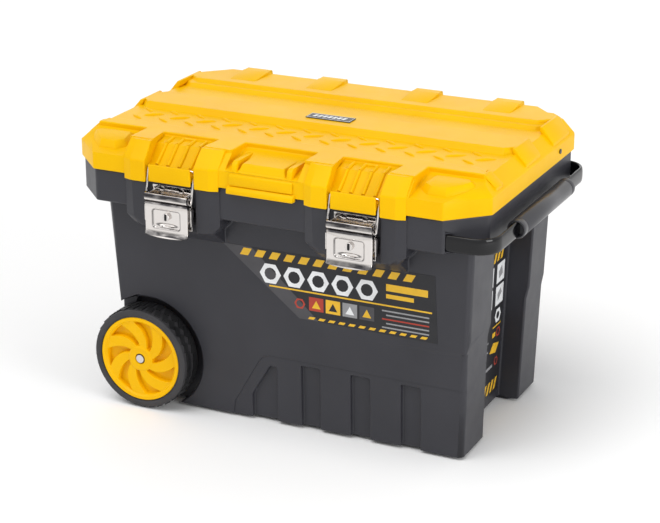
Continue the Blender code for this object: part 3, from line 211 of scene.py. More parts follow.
def platedSteel(name, look):
    # Nickel plate: darker streaks painted into the colour along the sheet, and a slow ripple from the press;
    # on the bright steel the streaks are painted dark reflections.
    material, tree, shader = startMaterial(name, {"Metallic": 1.0})
    streaks = noiseOf(tree, *press["streak"], look["streak"])
    ripple = noiseOf(tree, *press["ripple"])
    # darkStreaks paints the streaks into the colour; on brightSteel they are painted dark reflections.
    darkStreaks = rampOf(tree, streaks, look["from"], look["to"])
    feed(tree, shader, {
        "Base Color": mixColour(tree, darkStreaks, look["colour"], look["shade"]),
        "Roughness": unevenRough(ripple, look),
        "Normal": bumpOf(tree, ripple + streaks * press["streakRise"], look["strength"], look["wave"])})
    return material


# Sizes that the levers' finish, their pressing and the recesses over them share
latch = {"x": 0.136, "top": 0.3385, "low": 0.2770, "panelZ": 0.3025, "panelHalf": (0.0212, 0.0132),
         "panelRound": 0.004, "ovalZ": 0.2942}
# leverShine also sets the painted dark reflections: streak noise, the panel-edge line, the dish ring and
# bands up the lever.
leverShine = {"colour": (0.70, 0.665, 0.64), "shade": (0.045, 0.043, 0.046), "rough": 0.14, "spread": 0.10,
              "wave": 0.0016, "strength": 0.16, "streak": (70, 70, 160), "streakDark": 1.5, "evenDark": 0.35,
              "line": 0.0016, "lineSolid": 0.25, "lineDark": 0.70,
              "ovalHalf": (0.0160, 0.0030), "ovalEdge": 0.85, "ovalFade": (0.10, 0.45), "ovalDark": 0.75,
              "bands": ((0.0, 0.0), (1.0, 0.25), (0.018, 0.05), (0.035, 0.85), (0.110, 0.70), (0.150, 0.0),
                        (0.660, 0.0), (0.735, 0.12), (0.765, 0.85), (0.800, 0.90), (0.815, 0.0), (0.868, 0.0),
                        (0.895, 0.70), (0.975, 0.85))}


def leverSteel(name, look):
    # Bright plate with dark reflections painted into its colour: bands up the roll, the crease and the lip,
    # streaked by noise, a line along the panel edge and a ring round the oval dish.
    material, tree, shader = startMaterial(name, {"Metallic": 1.0})
    place = addNode(tree, "ShaderNodeTexCoord", {}, {}, "Object")
    x = addNode(tree, "ShaderNodeSeparateXYZ", {}, {"Vector": place}, "X") - home.x
    z = addNode(tree, "ShaderNodeSeparateXYZ", {}, {"Vector": place}, "Z")
    across = abs(x) - latch["x"]
    halfX, halfZ = latch["panelHalf"]
    bend = latch["panelRound"]
    spread = abs(across) - (halfX - bend)
    spread = spread.maths("MAXIMUM", spread, 0)
    rise = abs(z - latch["panelZ"]) - (halfZ - bend)
    rise = rise.maths("MAXIMUM", rise, 0)
    far = spread * spread + rise * rise
    far = far.maths("SQRT", far, 0) - bend
    line = 1 - rampOf(tree, abs(far) * (1 / look["line"]), look["lineSolid"], 1.0)
    ovalX = across * (1 / look["ovalHalf"][0])
    ovalZ = (z - latch["ovalZ"]) * (1 / look["ovalHalf"][1])
    oval = ovalX * ovalX + ovalZ * ovalZ - look["ovalEdge"]
    dish = 1 - rampOf(tree, abs(oval), *look["ovalFade"])
    share = (z - latch["low"]) * (1 / (latch["top"] - latch["low"]))
    bands = addNode(tree, "ShaderNodeValToRGB", {"stops": look["bands"]}, {"Fac": share}, "Color")
    # Painted dark reflections: bands up the lever, streaked by noise, plus the panel-edge line and the dish
    # ring.
    reflectionStreaks = noiseOf(tree, *press["streak"], look["streak"])
    ripple = noiseOf(tree, *press["ripple"])
    streakedReflections = bands * (reflectionStreaks * look["streakDark"] + look["evenDark"])
    dark = streakedReflections + line * look["lineDark"] + dish * look["ovalDark"]
    feed(tree, shader, {
        "Base Color": mixColour(tree, rampOf(tree, dark, 0.0, 1.0), look["colour"], look["shade"]),
        "Roughness": unevenRough(ripple, look),
        "Normal": bumpOf(tree, ripple, look["strength"], look["wave"])})
    return material


rubbers = {
    "tyreRubber": {"colour": (0.030, 0.029, 0.032), "shade": (0.045, 0.044, 0.047), "rough": 0.55,
                   "spread": 0.25},
    "treadRubber": {"colour": (0.008, 0.008, 0.009), "shade": (0.018, 0.018, 0.019), "rough": 0.50,
                    "spread": 0.25},
}
cure = {"specular": 0.4, "dust": (26, 5), "dusty": (0.45, 0.80), "grain": (900, 3), "strength": 0.35,
        "depth": 0.00012}


def mouldedRubber(name, look):
    material, tree, shader = startMaterial(name, {"Specular IOR Level": cure["specular"]})
    dust = noiseOf(tree, *cure["dust"])
    grain = noiseOf(tree, *cure["grain"])
    dusty = rampOf(tree, dust, *cure["dusty"])
    feed(tree, shader, {
        "Base Color": mixColour(tree, dusty, look["colour"], look["shade"]),
        "Roughness": unevenRough(dust, look),
        "Normal": bumpOf(tree, grain, cure["strength"], cure["depth"])})
    return material


# Printed vinyl for the stickers: a smooth film with a faint orange peel; shadowRed takes the same film as
# painted shade for the axle-end holes
inks = {"darkVinyl": (0.021, 0.021, 0.024), "yellowInk": (0.80, 0.47, 0.03), "paleInk": (0.82, 0.83, 0.84),
        "greyInk": (0.30, 0.30, 0.31), "redInk": (0.42, 0.05, 0.03), "badgeFilm": (0.016, 0.016, 0.024),
        "fadeInk": (0.070, 0.068, 0.074), "shadowRed": (0.085, 0.018, 0.004)}
vinyl = {"specular": 0.28, "peel": (420, 2), "wear": (60, 4), "worn": (0.40, 0.75), "fade": 0.88,
         "rough": 0.30, "peelRough": 0.10, "strength": 0.10, "depth": 0.00005}


def printedVinyl(name, colour):
    material, tree, shader = startMaterial(name, {"Specular IOR Level": vinyl["specular"]})
    peel = noiseOf(tree, *vinyl["peel"])
    wear = noiseOf(tree, *vinyl["wear"])
    faded = tuple(channel * vinyl["fade"] for channel in colour)
    feed(tree, shader, {
        "Base Color": mixColour(tree, rampOf(tree, wear, *vinyl["worn"]), colour, faded),
        "Roughness": peel * vinyl["peelRough"] + vinyl["rough"],
        "Normal": bumpOf(tree, peel, vinyl["strength"], vinyl["depth"])})
    return material


finishes = {name: mouldedPlastic(name, look) for name, look in plastics.items()}
finishes.update({name: platedSteel(name, look) for name, look in steels.items()})
finishes["leverSteel"] = leverSteel("leverSteel", leverShine)
finishes.update({name: printedVinyl(name, colour) for name, colour in inks.items()})
finishes.update({name: mouldedRubber(name, look) for name, look in rubbers.items()})
print("finishes made:", len(finishes))


# Mesh helpers; points closer together than these distances are joined
merging = {"cad": 0.000004, "swept": 0.000005, "cut": 0.00002}


def hold(name, data):
    item = bpy.data.objects.new(name, data)
    scene.collection.objects.link(item)
    return item


def showMesh(name, mesh, finish, smooth=35):
    piece = hold(name, mesh)
    mesh.materials.clear()
    mesh.materials.append(finishes[finish])
    mesh.shade_smooth()
    mesh.set_sharp_from_angle(angle=math.radians(smooth))
    return piece


def toMesh(name, shape):
    mesh = bpy.data.meshes.new(name)
    shape.to_mesh(mesh)
    shape.free()
    return mesh


def toPiece(name, shape, finish, smooth=35):
    return showMesh(name, toMesh(name, shape), finish, smooth)


def bakedMesh(item):
    # A plain mesh of an object, with its modifiers or its curve's bead worked in.
    return bpy.data.meshes.new_from_object(item.evaluated_get(bpy.context.evaluated_depsgraph_get()))


def merged(mesh, distance):
    shape = bmesh.new()
    shape.from_mesh(mesh)
    bmesh.ops.remove_doubles(shape, verts=shape.verts, dist=distance)
    return shape


def loft(rings, looped=False, merge=0):
    # Skins rings of points, with a cap on each end unless the last ring runs back to the first.
    shape = bmesh.new()
    rings = [[shape.verts.new(point) for point in ring] for ring in rings]
    pairs = list(zip(rings, rings[1:]))
    if looped:
        pairs.append((rings[-1], rings[0]))
    else:
        shape.faces.new(rings[0])
        shape.faces.new(list(reversed(rings[-1])))
    for low, high in pairs:
        for index in range(len(low)):
            after = (index + 1) % len(low)
            shape.faces.new((low[index], low[after], high[after], high[index]))
    if merge:
        bmesh.ops.remove_doubles(shape, verts=shape.verts, dist=merge)
    bmesh.ops.recalc_face_normals(shape, faces=shape.faces)
    return shape


def lathe(profile, steps, middle, side=1):
    # Turns (radius, depth) pairs about a Y axis; depth runs inward from the outer face.
    rings = []
    for radius, depth in profile:
        ring = []
        for step in range(steps):
            turn = 2 * math.pi * step / steps
            ring.append(middle + Vector((radius * math.cos(turn), -side * depth, radius * math.sin(turn))))
        rings.append(ring)
    return loft(rings, True, merging["swept"])


def roundEdges(shape, edges, width, steps=2):
    bmesh.ops.bevel(shape, geom=edges, offset=width, segments=steps, profile=0.5, affect="EDGES")


def barShape(outline, low, high, width, name, finish):
    # A (y, z) outline drawn out along X, with rounded edges.
    shape = loft([[at(x, y, z) for y, z in outline] for x in (low, high)])
    roundEdges(shape, shape.edges[:], width)
    return toPiece(name, shape, finish, smooth=40)


def boxShape(low, high):
    shape = bmesh.new()
    place = Matrix.Translation((low + high) / 2) @ Matrix.Diagonal((*(high - low), 1))
    bmesh.ops.create_cube(shape, size=1, matrix=place)
    return shape


def tube(name, points, radius, finish, closed=False):
    # A round bead along a line of points.
    curve = bpy.data.curves.new(name, "CURVE")
    curve.dimensions = "3D"
    curve.bevel_depth = radius
    curve.bevel_resolution = 2
    curve.use_fill_caps = True
    spline = curve.splines.new("POLY")
    spline.points.add(len(points) - 1)
    for spot, point in zip(spline.points, points):
        spot.co = (*point, 1)
    spline.use_cyclic_u = closed
    holder = hold(name, curve)
    mesh = bakedMesh(holder)
    bpy.data.objects.remove(holder, do_unlink=True)
    return toPiece(name, merged(mesh, merging["swept"]), finish, smooth=50)


def takeAway(shape, cutter):
    # A copy of one shape with another cut out of it.
    holders = [hold("cut", toMesh("cut", part)) for part in (shape, cutter)]
    cutting = holders[0].modifiers.new("cut", "BOOLEAN")
    cutting.operation = "DIFFERENCE"
    cutting.solver = "EXACT"
    cutting.object = holders[1]
    mesh = bakedMesh(holders[0])
    for holder in holders:
        bpy.data.objects.remove(holder, do_unlink=True)
    return merged(mesh, merging["cut"])


def roomBeside(edge):
    # How far an edge may be cut back before the cut meets another corner of its faces.
    start, end = (vert.co for vert in edge.verts)
    along = end - start
    room = along.length
    for face in edge.link_faces:
        for vert in face.verts:
            if vert not in edge.verts:
                share = min(max((vert.co - start).dot(along) / along.length_squared, 0), 1)
                room = min(room, (vert.co - start - along * share).length)
    return room


rounding = {"sliver": 0.0002, "flat": 0.6, "reach": 0.36, "least": 0.12, "faceWeight": 100}


def softened(node, name, finish, width, steps=2, angle=24, cutter=None):
    # A merged copy of a CAD node with its moulded edges rounded as far as there is room.
    shape = merged(nodes[node].data, merging["cad"])
    if cutter:
        shape = takeAway(shape, cutter)
    bmesh.ops.dissolve_degenerate(shape, edges=shape.edges, dist=rounding["sliver"])
    flat = math.radians(rounding["flat"])
    bmesh.ops.dissolve_limit(shape, angle_limit=flat, verts=shape.verts, edges=shape.edges)
    weights = []
    for edge in shape.edges:
        sharp = len(edge.link_faces) == 2 and edge.calc_face_angle(0) > math.radians(angle)
        share = min(1, rounding["reach"] * roomBeside(edge) / width) if sharp else 0
        weights.append(share if share > rounding["least"] else 0)
    piece = toPiece(name, shape, finish, smooth=40)
    layer = piece.data.attributes.new("bevel_weight_edge", "FLOAT", "EDGE")
    layer.data.foreach_set("value", weights)
    bevel = piece.modifiers.new("rounding", "BEVEL")
    bevel.limit_method = "WEIGHT"
    bevel.width = width
    bevel.segments = steps
    bevel.use_clamp_overlap = False
    bevel.miter_outer = "MITER_ARC"
    weigh = piece.modifiers.new("evenNormals", "WEIGHTED_NORMAL")
    weigh.keep_sharp = True
    weigh.weight = rounding["faceWeight"]
    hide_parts(node)
    return piece


def joinPieces(name, pieces):
    # Several flat or small shapes kept as one piece, each with its own finish.
    for item in pieces:
        if item.modifiers:
            item.data = bakedMesh(item)
            item.modifiers.clear()
    for item in scene.objects:
        item.select_set(item in pieces)
    bpy.context.view_layer.objects.active = pieces[0]
    with bpy.context.temp_override(active_object=pieces[0], selected_editable_objects=pieces,
                                   selected_objects=pieces, object=pieces[0]):
        bpy.ops.object.join()
    pieces[0].name = name
    return pieces[0]


def nodeTree(name, inputs):
    # An empty Geometry Nodes tree with named inputs; returns its input wires.
    tree = bpy.data.node_groups.new(name, "GeometryNodeTree")
    for label, kind in inputs.items():
        tree.interface.new_socket(label, in_out="INPUT", socket_type="NodeSocket" + kind)
    tree.interface.new_socket("Geometry", in_out="OUTPUT", socket_type="NodeSocketGeometry")
    entry = tree.nodes.new("NodeGroupInput")
    return tree, {label: Wire(tree, entry.outputs[label]) for label in inputs}


def rowOf(tree, count, spacing, start):
    # Points in a row along X.
    step = addNode(tree, "ShaderNodeCombineXYZ", {}, {"X": spacing})
    return addNode(tree, "GeometryNodeMeshLine", {"mode": "OFFSET"},
                   {"Count": count, "Start Location": start, "Offset": step})


def endTree(tree, shapes, finish):
    solid = addNode(tree, "GeometryNodeRealizeInstances", {}, {"Geometry": shapes})
    painted = addNode(tree, "GeometryNodeSetMaterial", {}, {"Geometry": solid, "Material": finish})
    leave = tree.nodes.new("NodeGroupOutput")
    tree.links.new(painted.socket, leave.inputs["Geometry"])


def bakeTree(name, tree, values, finish):
    # Runs a tree once with these values and keeps the result as a plain mesh.
    holder = hold(name, bpy.data.meshes.new(name))
    modifier = holder.modifiers.new("nodes", "NODES")
    modifier.node_group = tree
    for socket in tree.interface.items_tree:
        if socket.item_type == "SOCKET" and socket.in_out == "INPUT":
            modifier[socket.identifier] = finishes[finish] if socket.name == "Finish" else values[socket.name]
    mesh = bakedMesh(holder)
    bpy.data.objects.remove(holder, do_unlink=True)
    piece = showMesh(name, mesh, finish, smooth=40)
    mesh.polygons.foreach_set("material_index", [0] * len(mesh.polygons))
    return piece


# The two mouldings; the tub's sharpest corner, over the front foot, is cut to a wide round first
shellEdges = {"body": 0.0030, "lid": 0.0018, "steps": 4}
footRound = {"line": ((0.27560, -0.14610, -0.001), (0.27875, -0.14895, 0.1040), (0.27875, -0.15045, 0.1042),
                      (0.28035, -0.15195, 0.1580)),
             "radius": (0.009, 0.009, 0.009, 0.006), "spare": 0.004, "steps": 8}


def footCutter():
    rings = []
    spare, steps = footRound["spare"], footRound["steps"]
    for (x, y, z), radius in zip(footRound["line"], footRound["radius"]):
        spots = [(x - radius, y - spare), (x + spare, y - spare), (x + spare, y + radius)]
        for step in range(steps + 1):
            turn = math.pi / 2 * step / steps
            spots.append((x - radius + radius * math.cos(turn), y + radius - radius * math.sin(turn)))
        rings.append([at(across, deep, z) for across, deep in spots])
    shape = loft(rings)
    bmesh.ops.triangulate(shape, faces=shape.faces)
    return shape


body = softened("body_shell", "tubMoulding", "charcoalPlastic", shellEdges["body"], shellEdges["steps"],
                cutter=footCutter())
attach(body, "body")
lid = softened("lid_shell", "lidMoulding", "yellowPlastic", shellEdges["lid"], shellEdges["steps"])
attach(lid, "lid")
print("mouldings rounded")


# Raised tread bars on the low band of the lid; a row gives y, turn, shift and share of the length
tread = {"z": 0.3965, "length": 0.0290, "width": 0.0056, "rise": 0.0024, "spacing": 0.0420, "halfRun": 0.262,
         "rows": ((-0.0345, -32, 0.0, 0.75), (-0.0530, 34, 0.45, 1.0), (-0.0720, -32, 0.05, 0.85)),
         "fineness": 3}


def treadTree():
    tree, wires = nodeTree("treadBars", {"Bars": "Int", "Spacing": "Float", "Start": "Vector",
                                         "Turn": "Rotation", "Size": "Vector", "Finish": "Material"})
    line = rowOf(tree, wires["Bars"], wires["Spacing"], wires["Start"])
    ball = addNode(tree, "GeometryNodeMeshIcoSphere", {}, {"Radius": 1.0, "Subdivisions": tread["fineness"]})
    bar = addNode(tree, "GeometryNodeTransform", {}, {"Geometry": ball, "Scale": wires["Size"]})
    bars = addNode(tree, "GeometryNodeInstanceOnPoints", {},
                   {"Points": line, "Instance": bar, "Rotation": wires["Turn"]})
    endTree(tree, bars, wires["Finish"])
    return tree


barTree = treadTree()
for row, (y, turn, shift, share) in enumerate(tread["rows"]):
    start = -tread["halfRun"] + shift * tread["spacing"]
    count = int((tread["halfRun"] - start) / tread["spacing"]) + 1
    size = (tread["length"] * share / 2, tread["width"] / 2, tread["rise"])
    bars = bakeTree("treadRow%d" % (row + 1), barTree, {
        "Bars": count, "Spacing": tread["spacing"], "Start": at(start, y, tread["z"]),
        "Turn": (0, 0, math.radians(turn)), "Size": size}, "yellowPlastic")
    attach(bars, "lid")
print("tread bars set")


# Two-faced step in each latch recess, with ribs that run over it
recess = {"line": ((-0.1347, 0.3968), (-0.1590, 0.3930), (-0.1800, 0.3752), (-0.1862, 0.3706)),
          "half": 0.0412, "under": 0.003, "round": 0.0012}
ribs = {"count": 4, "spacing": 0.0172, "radius": 0.0026, "sink": -0.0002, "start": 0.22, "around": 12}


def ribTree():
    tree, wires = nodeTree("recessRibs", {"Ribs": "Int", "Spacing": "Float", "Start": "Vector",
                                          "Bend": "Vector", "End": "Vector", "Radius": "Float",
                                          "Finish": "Material"})
    line = rowOf(tree, wires["Ribs"], wires["Spacing"], wires["Start"])
    ring = addNode(tree, "GeometryNodeCurvePrimitiveCircle", {},
                   {"Resolution": ribs["around"], "Radius": wires["Radius"]})
    joined = tree.nodes.new("GeometryNodeJoinGeometry")
    for first, last in (((0, 0, 0), wires["Bend"]), (wires["Bend"], wires["End"])):
        path = addNode(tree, "GeometryNodeCurvePrimitiveLine", {}, {"Start": first, "End": last})
        rib = addNode(tree, "GeometryNodeCurveToMesh", {},
                      {"Curve": path, "Profile Curve": ring, "Fill Caps": True})
        tree.links.new(rib.socket, joined.inputs[0])
    rows = addNode(tree, "GeometryNodeInstanceOnPoints", {},
                   {"Points": line, "Instance": Wire(tree, joined.outputs[0])})
    endTree(tree, rows, wires["Finish"])
    return tree


def recessRibs(middle):
    line = recess["line"]
    outline = list(line) + [(y, z - recess["under"]) for y, z in (line[-1], line[0])]
    ramp = barShape(outline, middle - recess["half"], middle + recess["half"], recess["round"], "recessStep",
                    "yellowPlastic")
    top, bend, low = (Vector((0, y, z - ribs["sink"])) for y, z in (line[0], line[1], line[-1]))
    top = top + (bend - top) * ribs["start"]
    first = middle - ribs["spacing"] * (ribs["count"] - 1) / 2
    fins = bakeTree("recessRibs", ribNodes, {
        "Ribs": ribs["count"], "Spacing": ribs["spacing"], "Start": at(first, top.y, top.z),
        "Bend": bend - top, "End": low - top, "Radius": ribs["radius"]}, "yellowPlastic")
    reach = ribs["spacing"] / 2
    ends = [at(middle + share * reach, top.y, top.z) for share in (-1, 1)]
    return [ramp, fins, tube("ribArch", ends, ribs["radius"], "yellowPlastic")]


ribNodes = ribTree()
for side, sign in latchSides:
    fins = joinPieces("recessRibs" + side, recessRibs(sign * latch["x"]))
    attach(fins, "lid")


# Raised pads in the corner recesses; a face gives its height, where that is, and its slope
pad = {"plane": (0.3938, -0.130, 0.2433), "top": (0.3978, -0.130, 0.115), "slope": 0.0062, "sink": 0.001,
       "outline": ((0.2240, -0.1370), (0.2780, -0.1370), (0.2850, -0.1460), (0.2770, -0.1610),
                   (0.2570, -0.1800), (0.2310, -0.1800), (0.2180, -0.1690)),
       "sharp": 20, "round": 0.0007}


def cornerPad(name, sign):
    corners = [Vector(corner) for corner in pad["outline"]]
    middle = sum(corners, Vector((0, 0))) / len(corners)
    rings = []
    for face, out, shrink in (("plane", -pad["sink"], 0), ("plane", 0, 0), ("top", 0, pad["slope"])):
        height, start, slope = pad[face]
        ring = []
        for corner in corners:
            away = corner - middle
            spot = middle + away * (1 - shrink / away.length)
            ring.append(at(sign * spot.x, spot.y, height + (spot.y - start) * slope + out))
        rings.append(ring)
    shape = loft(rings)
    sharp = math.radians(pad["sharp"])
    roundEdges(shape, [edge for edge in shape.edges if edge.calc_face_angle(0) > sharp], pad["round"])
    return toPiece(name, shape, "yellowPlastic", smooth=40)


for side, sign in latchSides:
    trim = cornerPad("cornerPad" + side, sign)
    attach(trim, "lid")
print("recess steps, ribs and pads set")


# Middle of the lid's front: a ledge over a thicker finger lip, and a cheek on each side of the raised block
carry = {"ledge": ((-0.1930, 0.3602), (-0.1966, 0.3602), (-0.1966, 0.3738), (-0.1942, 0.3764),
                   (-0.1930, 0.3764)),
         "lip": ((-0.1940, 0.3492), (-0.2006, 0.3492), (-0.2006, 0.3548), (-0.1974, 0.3588),
                 (-0.1940, 0.3588)),
         "cheek": ((-0.1936, 0.3765), (-0.1904, 0.3890), (-0.1850, 0.3925), (-0.1430, 0.3925),
                   (-0.1430, 0.3897), (-0.1900, 0.3770)),
         "ledgeHalf": 0.0470, "lipHalf": 0.0494, "cheekX": 0.0408, "cheekHalf": 0.0040, "round": 0.0012}


def carryTrim():
    pieces = []
    for part, middle in (("ledge", 0), ("lip", 0), ("cheek", -carry["cheekX"]), ("cheek", carry["cheekX"])):
        low, high = middle - carry[part + "Half"], middle + carry[part + "Half"]
        pieces.append(barShape(carry[part], low, high, carry["round"], part, "yellowPlastic"))
    piece = joinPieces("carryTrim", pieces)
    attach(piece, "lid")


# A long ramp that carries the back band up to each tab
tabRamps = {"places": (-0.2025, -0.0765, 0.0765, 0.2025), "half": 0.0205, "round": 0.0003,
            "outline": ((0.1380, 0.4061), (0.1812, 0.4099), (0.1840, 0.4099), (0.1840, 0.4042),
                        (0.1380, 0.4042))}


def makeTabRamps():
    look = tabRamps
    pieces = []
    for x in look["places"]:
        low, high = x - look["half"], x + look["half"]
        pieces.append(barShape(look["outline"], low, high, look["round"], "tabRamp", "yellowPlastic"))
    piece = joinPieces("tabRamps", pieces)
    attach(piece, "lid")


# Chamfered ends that carry each raised band of the lid down its end slope; a band gives two y and its top
bandEnds = {"bands": ((-0.1260, -0.1020, 0.3997), (-0.0150, 0.0405, 0.4044), (0.0930, 0.1600, 0.4059)),
            "inner": 0.2840, "brow": 0.2880, "toe": 0.3050, "toeZ": 0.3850, "toeLow": 0.3778, "under": 0.3988,
            "round": 0.0012, "steps": 3}


def bandEnd(sign, low, high, top):
    sizes = bandEnds
    outline = ((sizes["inner"], top), (sizes["brow"], top), (sizes["toe"], sizes["toeZ"]),
               (sizes["toe"], sizes["toeLow"]), (sizes["inner"], sizes["under"]))
    shape = loft([[at(sign * x, y, z) for x, z in outline] for y in (low, high)])
    roundEdges(shape, shape.edges[:], sizes["round"], sizes["steps"])
    return toPiece("bandEnd", shape, "yellowPlastic", smooth=40)


carryTrim()
makeTabRamps()
for side, sign in latchSides:
    ends = joinPieces("bandEnds" + side, [bandEnd(sign, *band) for band in bandEnds["bands"]])
    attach(ends, "lid")
print("carry trim, tab ramps and band ends set")


# Badge plate: a dark film with a thin pale frame and a row of plain slanted bars
badgeLook = {"round": 0.0004, "rim": 0.0011, "frame": 0.0006, "frameSink": 0.0003,
             "bars": 7, "start": -0.0265, "spacing": 0.0074, "rise": 0.0004, "thickness": 0.0006,
             "bar": ((0, -0.0045), (0.0046, -0.0045), (0.0068, 0.0045), (0.0022, 0.0045))}


def badgeBar(left, middle, top):
    shape = bmesh.new()
    for x, y in badgeLook["bar"]:
        shape.verts.new((left + x, middle + y, top + badgeLook["rise"]))
    shape.faces.new(shape.verts)
    shape.normal_update()
    bmesh.ops.solidify(shape, geom=shape.faces[:], thickness=badgeLook["thickness"])
    bmesh.ops.recalc_face_normals(shape, faces=shape.faces)
    return toPiece("badgeBar", shape, "paleInk")


def makeBadge():
    look = badgeLook
    badge = softened("lid_badge", "badgePlate", "badgeFilm", look["round"])
    low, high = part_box("lid_badge")
    middle = (low + high) / 2
    left, right = low.x + look["rim"], high.x - look["rim"]
    near, far = low.y + look["rim"], high.y - look["rim"]
    level = high.z - look["frameSink"]
    corners = [(left, near, level), (right, near, level), (right, far, level), (left, far, level)]
    pieces = [badge, tube("badgeFrame", corners, look["frame"], "paleInk", True)]
    for step in range(look["bars"]):
        pieces.append(badgeBar(middle.x + look["start"] + step * look["spacing"], middle.y, high.z))
    badge = joinPieces("badgePlate", pieces)
    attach(badge, "lid")


makeBadge()
print("badge set")


# Draw latches: a pressed lever with a rolled head, a stamped panel, an oval dish and a flared lip
lever = {"half": 0.0328, "outer": -0.2105, "sheet": 0.0011, "corner": 0.0016, "cornerSteps": 4,
         "flange": 0.0105, "flangeLow": 0.305, "flangeEase": 0.006, "shortFlange": 0.0030, "flangeKnee": 0.6,
         "rollLow": 0.3274, "rollRise": 0.0026,
         "creaseZ": 0.3262, "creaseDepth": 0.0017, "creaseWidth": 0.0012,
         "archMid": 0.3172, "archRise": 0.0046, "archOut": 0.0012, "archEdge": (-0.0004, 0.0010),
         "archTop": (0.3248, 0.3262), "panelDepth": 0.0023, "panelEdge": (-0.0012, 0.0004),
         "ovalHalf": (0.0160, 0.0026), "ovalDepth": 0.0022, "ovalEdge": (0.55, 1.05),
         "lipZ": 0.2862, "lipOut": 0.0032, "lipFlare": 1.5, "lipCurve": 0.0030, "lipEase": 0.004,
         "across": 64, "rows": 74}


def leverRelief(x, z):
    # How far the pressed sheet stands out from its flat face at one spot.
    out = 0.0
    if z > lever["rollLow"]:
        share = 2 * (z - lever["rollLow"]) / (latch["top"] - lever["rollLow"]) - 1
        out += lever["rollRise"] * math.sqrt(max(1 - share * share, 0))
    out -= lever["creaseDepth"] * math.exp(-((z - lever["creaseZ"]) / lever["creaseWidth"]) ** 2)
    arch = lever["archMid"] + lever["archRise"] * (x / lever["half"]) ** 2
    archLow, archHigh = (arch + edge for edge in lever["archEdge"])
    out += lever["archOut"] * ease(archLow, archHigh, z) * (1 - ease(*lever["archTop"], z))
    halfX, halfZ = latch["panelHalf"]
    spread = max(abs(x) - halfX + latch["panelRound"], 0)
    rise = max(abs(z - latch["panelZ"]) - halfZ + latch["panelRound"], 0)
    edge = math.hypot(spread, rise) - latch["panelRound"]
    out -= lever["panelDepth"] * (1 - ease(*lever["panelEdge"], edge))
    ovalX, ovalZ = lever["ovalHalf"]
    oval = math.hypot(x / ovalX, (z - latch["ovalZ"]) / ovalZ)
    out -= lever["ovalDepth"] * (1 - ease(*lever["ovalEdge"], oval))
    flare = min(max((lever["lipZ"] - z) / (lever["lipZ"] - latch["low"]), 0), 1)
    return out + lever["lipOut"] * flare ** lever["lipFlare"]


def lipSag(x, z):
    # The lower edge curves up towards the sides.
    share = ease(lever["lipZ"] + lever["lipEase"], latch["low"], z)
    return lever["lipCurve"] * (x / lever["half"]) ** 2 * share


def leverRow(middle, z):
    # One cross-section of the lever: flange, rounded corner, face, corner, flange.
    deeper = ease(lever["flangeLow"] - lever["flangeEase"], lever["flangeLow"], z)
    depth = lever["shortFlange"] + (lever["flange"] - lever["shortFlange"]) * deeper
    half, bend, count = lever["half"], lever["corner"], lever["across"]
    edge = lever["outer"] - leverRelief(half, z)
    left = [(-half, edge + depth), (-half, edge + depth * lever["flangeKnee"])]
    for step in range(lever["cornerSteps"] + 1):
        turn = math.pi / 2 * step / lever["cornerSteps"]
        left.append((-half + bend - bend * math.cos(turn), edge + bend - bend * math.sin(turn)))
    face = []
    for step in range(1, count):
        x = (-1 + 2 * step / count) * (half - bend)
        face.append((x, lever["outer"] - leverRelief(x, z)))
    right = [(-x, y) for x, y in reversed(left)]
    return [at(middle + x, y, z + lipSag(x, z)) for x, y in left + face + right]


def sheetPiece(name, rows, finish, thickness):
    # A pressed sheet from rows of points, with its face towards the front.
    shape = bmesh.new()
    grid = [[shape.verts.new(point) for point in row] for row in rows]
    for upper, lower in zip(grid, grid[1:]):
        for index in range(len(upper) - 1):
            shape.faces.new((upper[index], lower[index], lower[index + 1], upper[index + 1]))
    bmesh.ops.recalc_face_normals(shape, faces=shape.faces)
    lookOut = sum((face.normal for face in shape.faces), Vector())
    if lookOut.y > 0:
        bmesh.ops.reverse_faces(shape, faces=shape.faces)
    piece = toPiece(name, shape, finish, smooth=45)
    wall = piece.modifiers.new("sheet", "SOLIDIFY")
    wall.thickness = thickness
    wall.offset = -1
    return piece


def latchLever(side, sign):
    rows = []
    for row in range(lever["rows"] + 1):
        z = latch["top"] + (latch["low"] - latch["top"]) * row / lever["rows"]
        rows.append(leverRow(sign * latch["x"], z))
    piece = sheetPiece("latchLever" + side, rows, "leverSteel", lever["sheet"])
    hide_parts("latch_lever_" + side.lower())
    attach(piece, "lever_" + side.lower())


wings = {"x": 0.0352, "half": 0.0012, "z": (0.2960, 0.3190), "y": (-0.2055, -0.1926), "foot": 0.0296,
         "round": 0.0006, "strap": 0.0013, "plateRound": 0.0004}


def latchBase(side, sign):
    # The plate behind the lever, with a folded wing on each side of it.
    base = softened("latch_base_" + side.lower(), "latchBase" + side, "brightSteel", wings["plateRound"])
    pieces = [base]
    (front, back), (low, high) = wings["y"], wings["z"]
    for edge in (-1, 1):
        x = sign * latch["x"] + edge * wings["x"]
        wing = boxShape(at(x - wings["half"], front, low), at(x + wings["half"], back, high))
        roundEdges(wing, wing.edges[:], wings["round"])
        pieces.append(toPiece("wing", wing, "brightSteel"))
        left, right = sorted((x, sign * latch["x"] + edge * wings["foot"]))
        strap = boxShape(at(left, back - wings["strap"], low), at(right, back, high))
        pieces.append(toPiece("strap", strap, "brightSteel"))
    base = joinPieces("latchBase" + side, pieces)
    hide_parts("latch_base_" + side.lower())
    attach(base, "body")


keyhole = {"half": 0.0019, "rise": 0.0048, "out": 0.0002, "deep": 0.0012, "steps": 16, "level": 0.01,
           "plugRound": 0.0003, "plugSteps": 2, "plugAngle": 50}


def keySlot(centre):
    # A black slot with round ends on the face of the plug: painted shade that stands for the keyhole's
    # opening.
    half = keyhole["half"]
    ring = []
    for step in range(keyhole["steps"]):
        turn = 2 * math.pi * step / keyhole["steps"]
        level = abs(math.sin(turn)) <= keyhole["level"]
        bulge = 0 if level else math.copysign(keyhole["rise"] - half, math.sin(turn))
        ring.append((half * math.cos(turn), bulge + half * math.sin(turn)))
    rings = [[centre + Vector((x, y, z)) for x, z in ring] for y in (-keyhole["out"], keyhole["deep"])]
    return toPiece("keySlot", loft(rings), "blackPlastic", smooth=40)


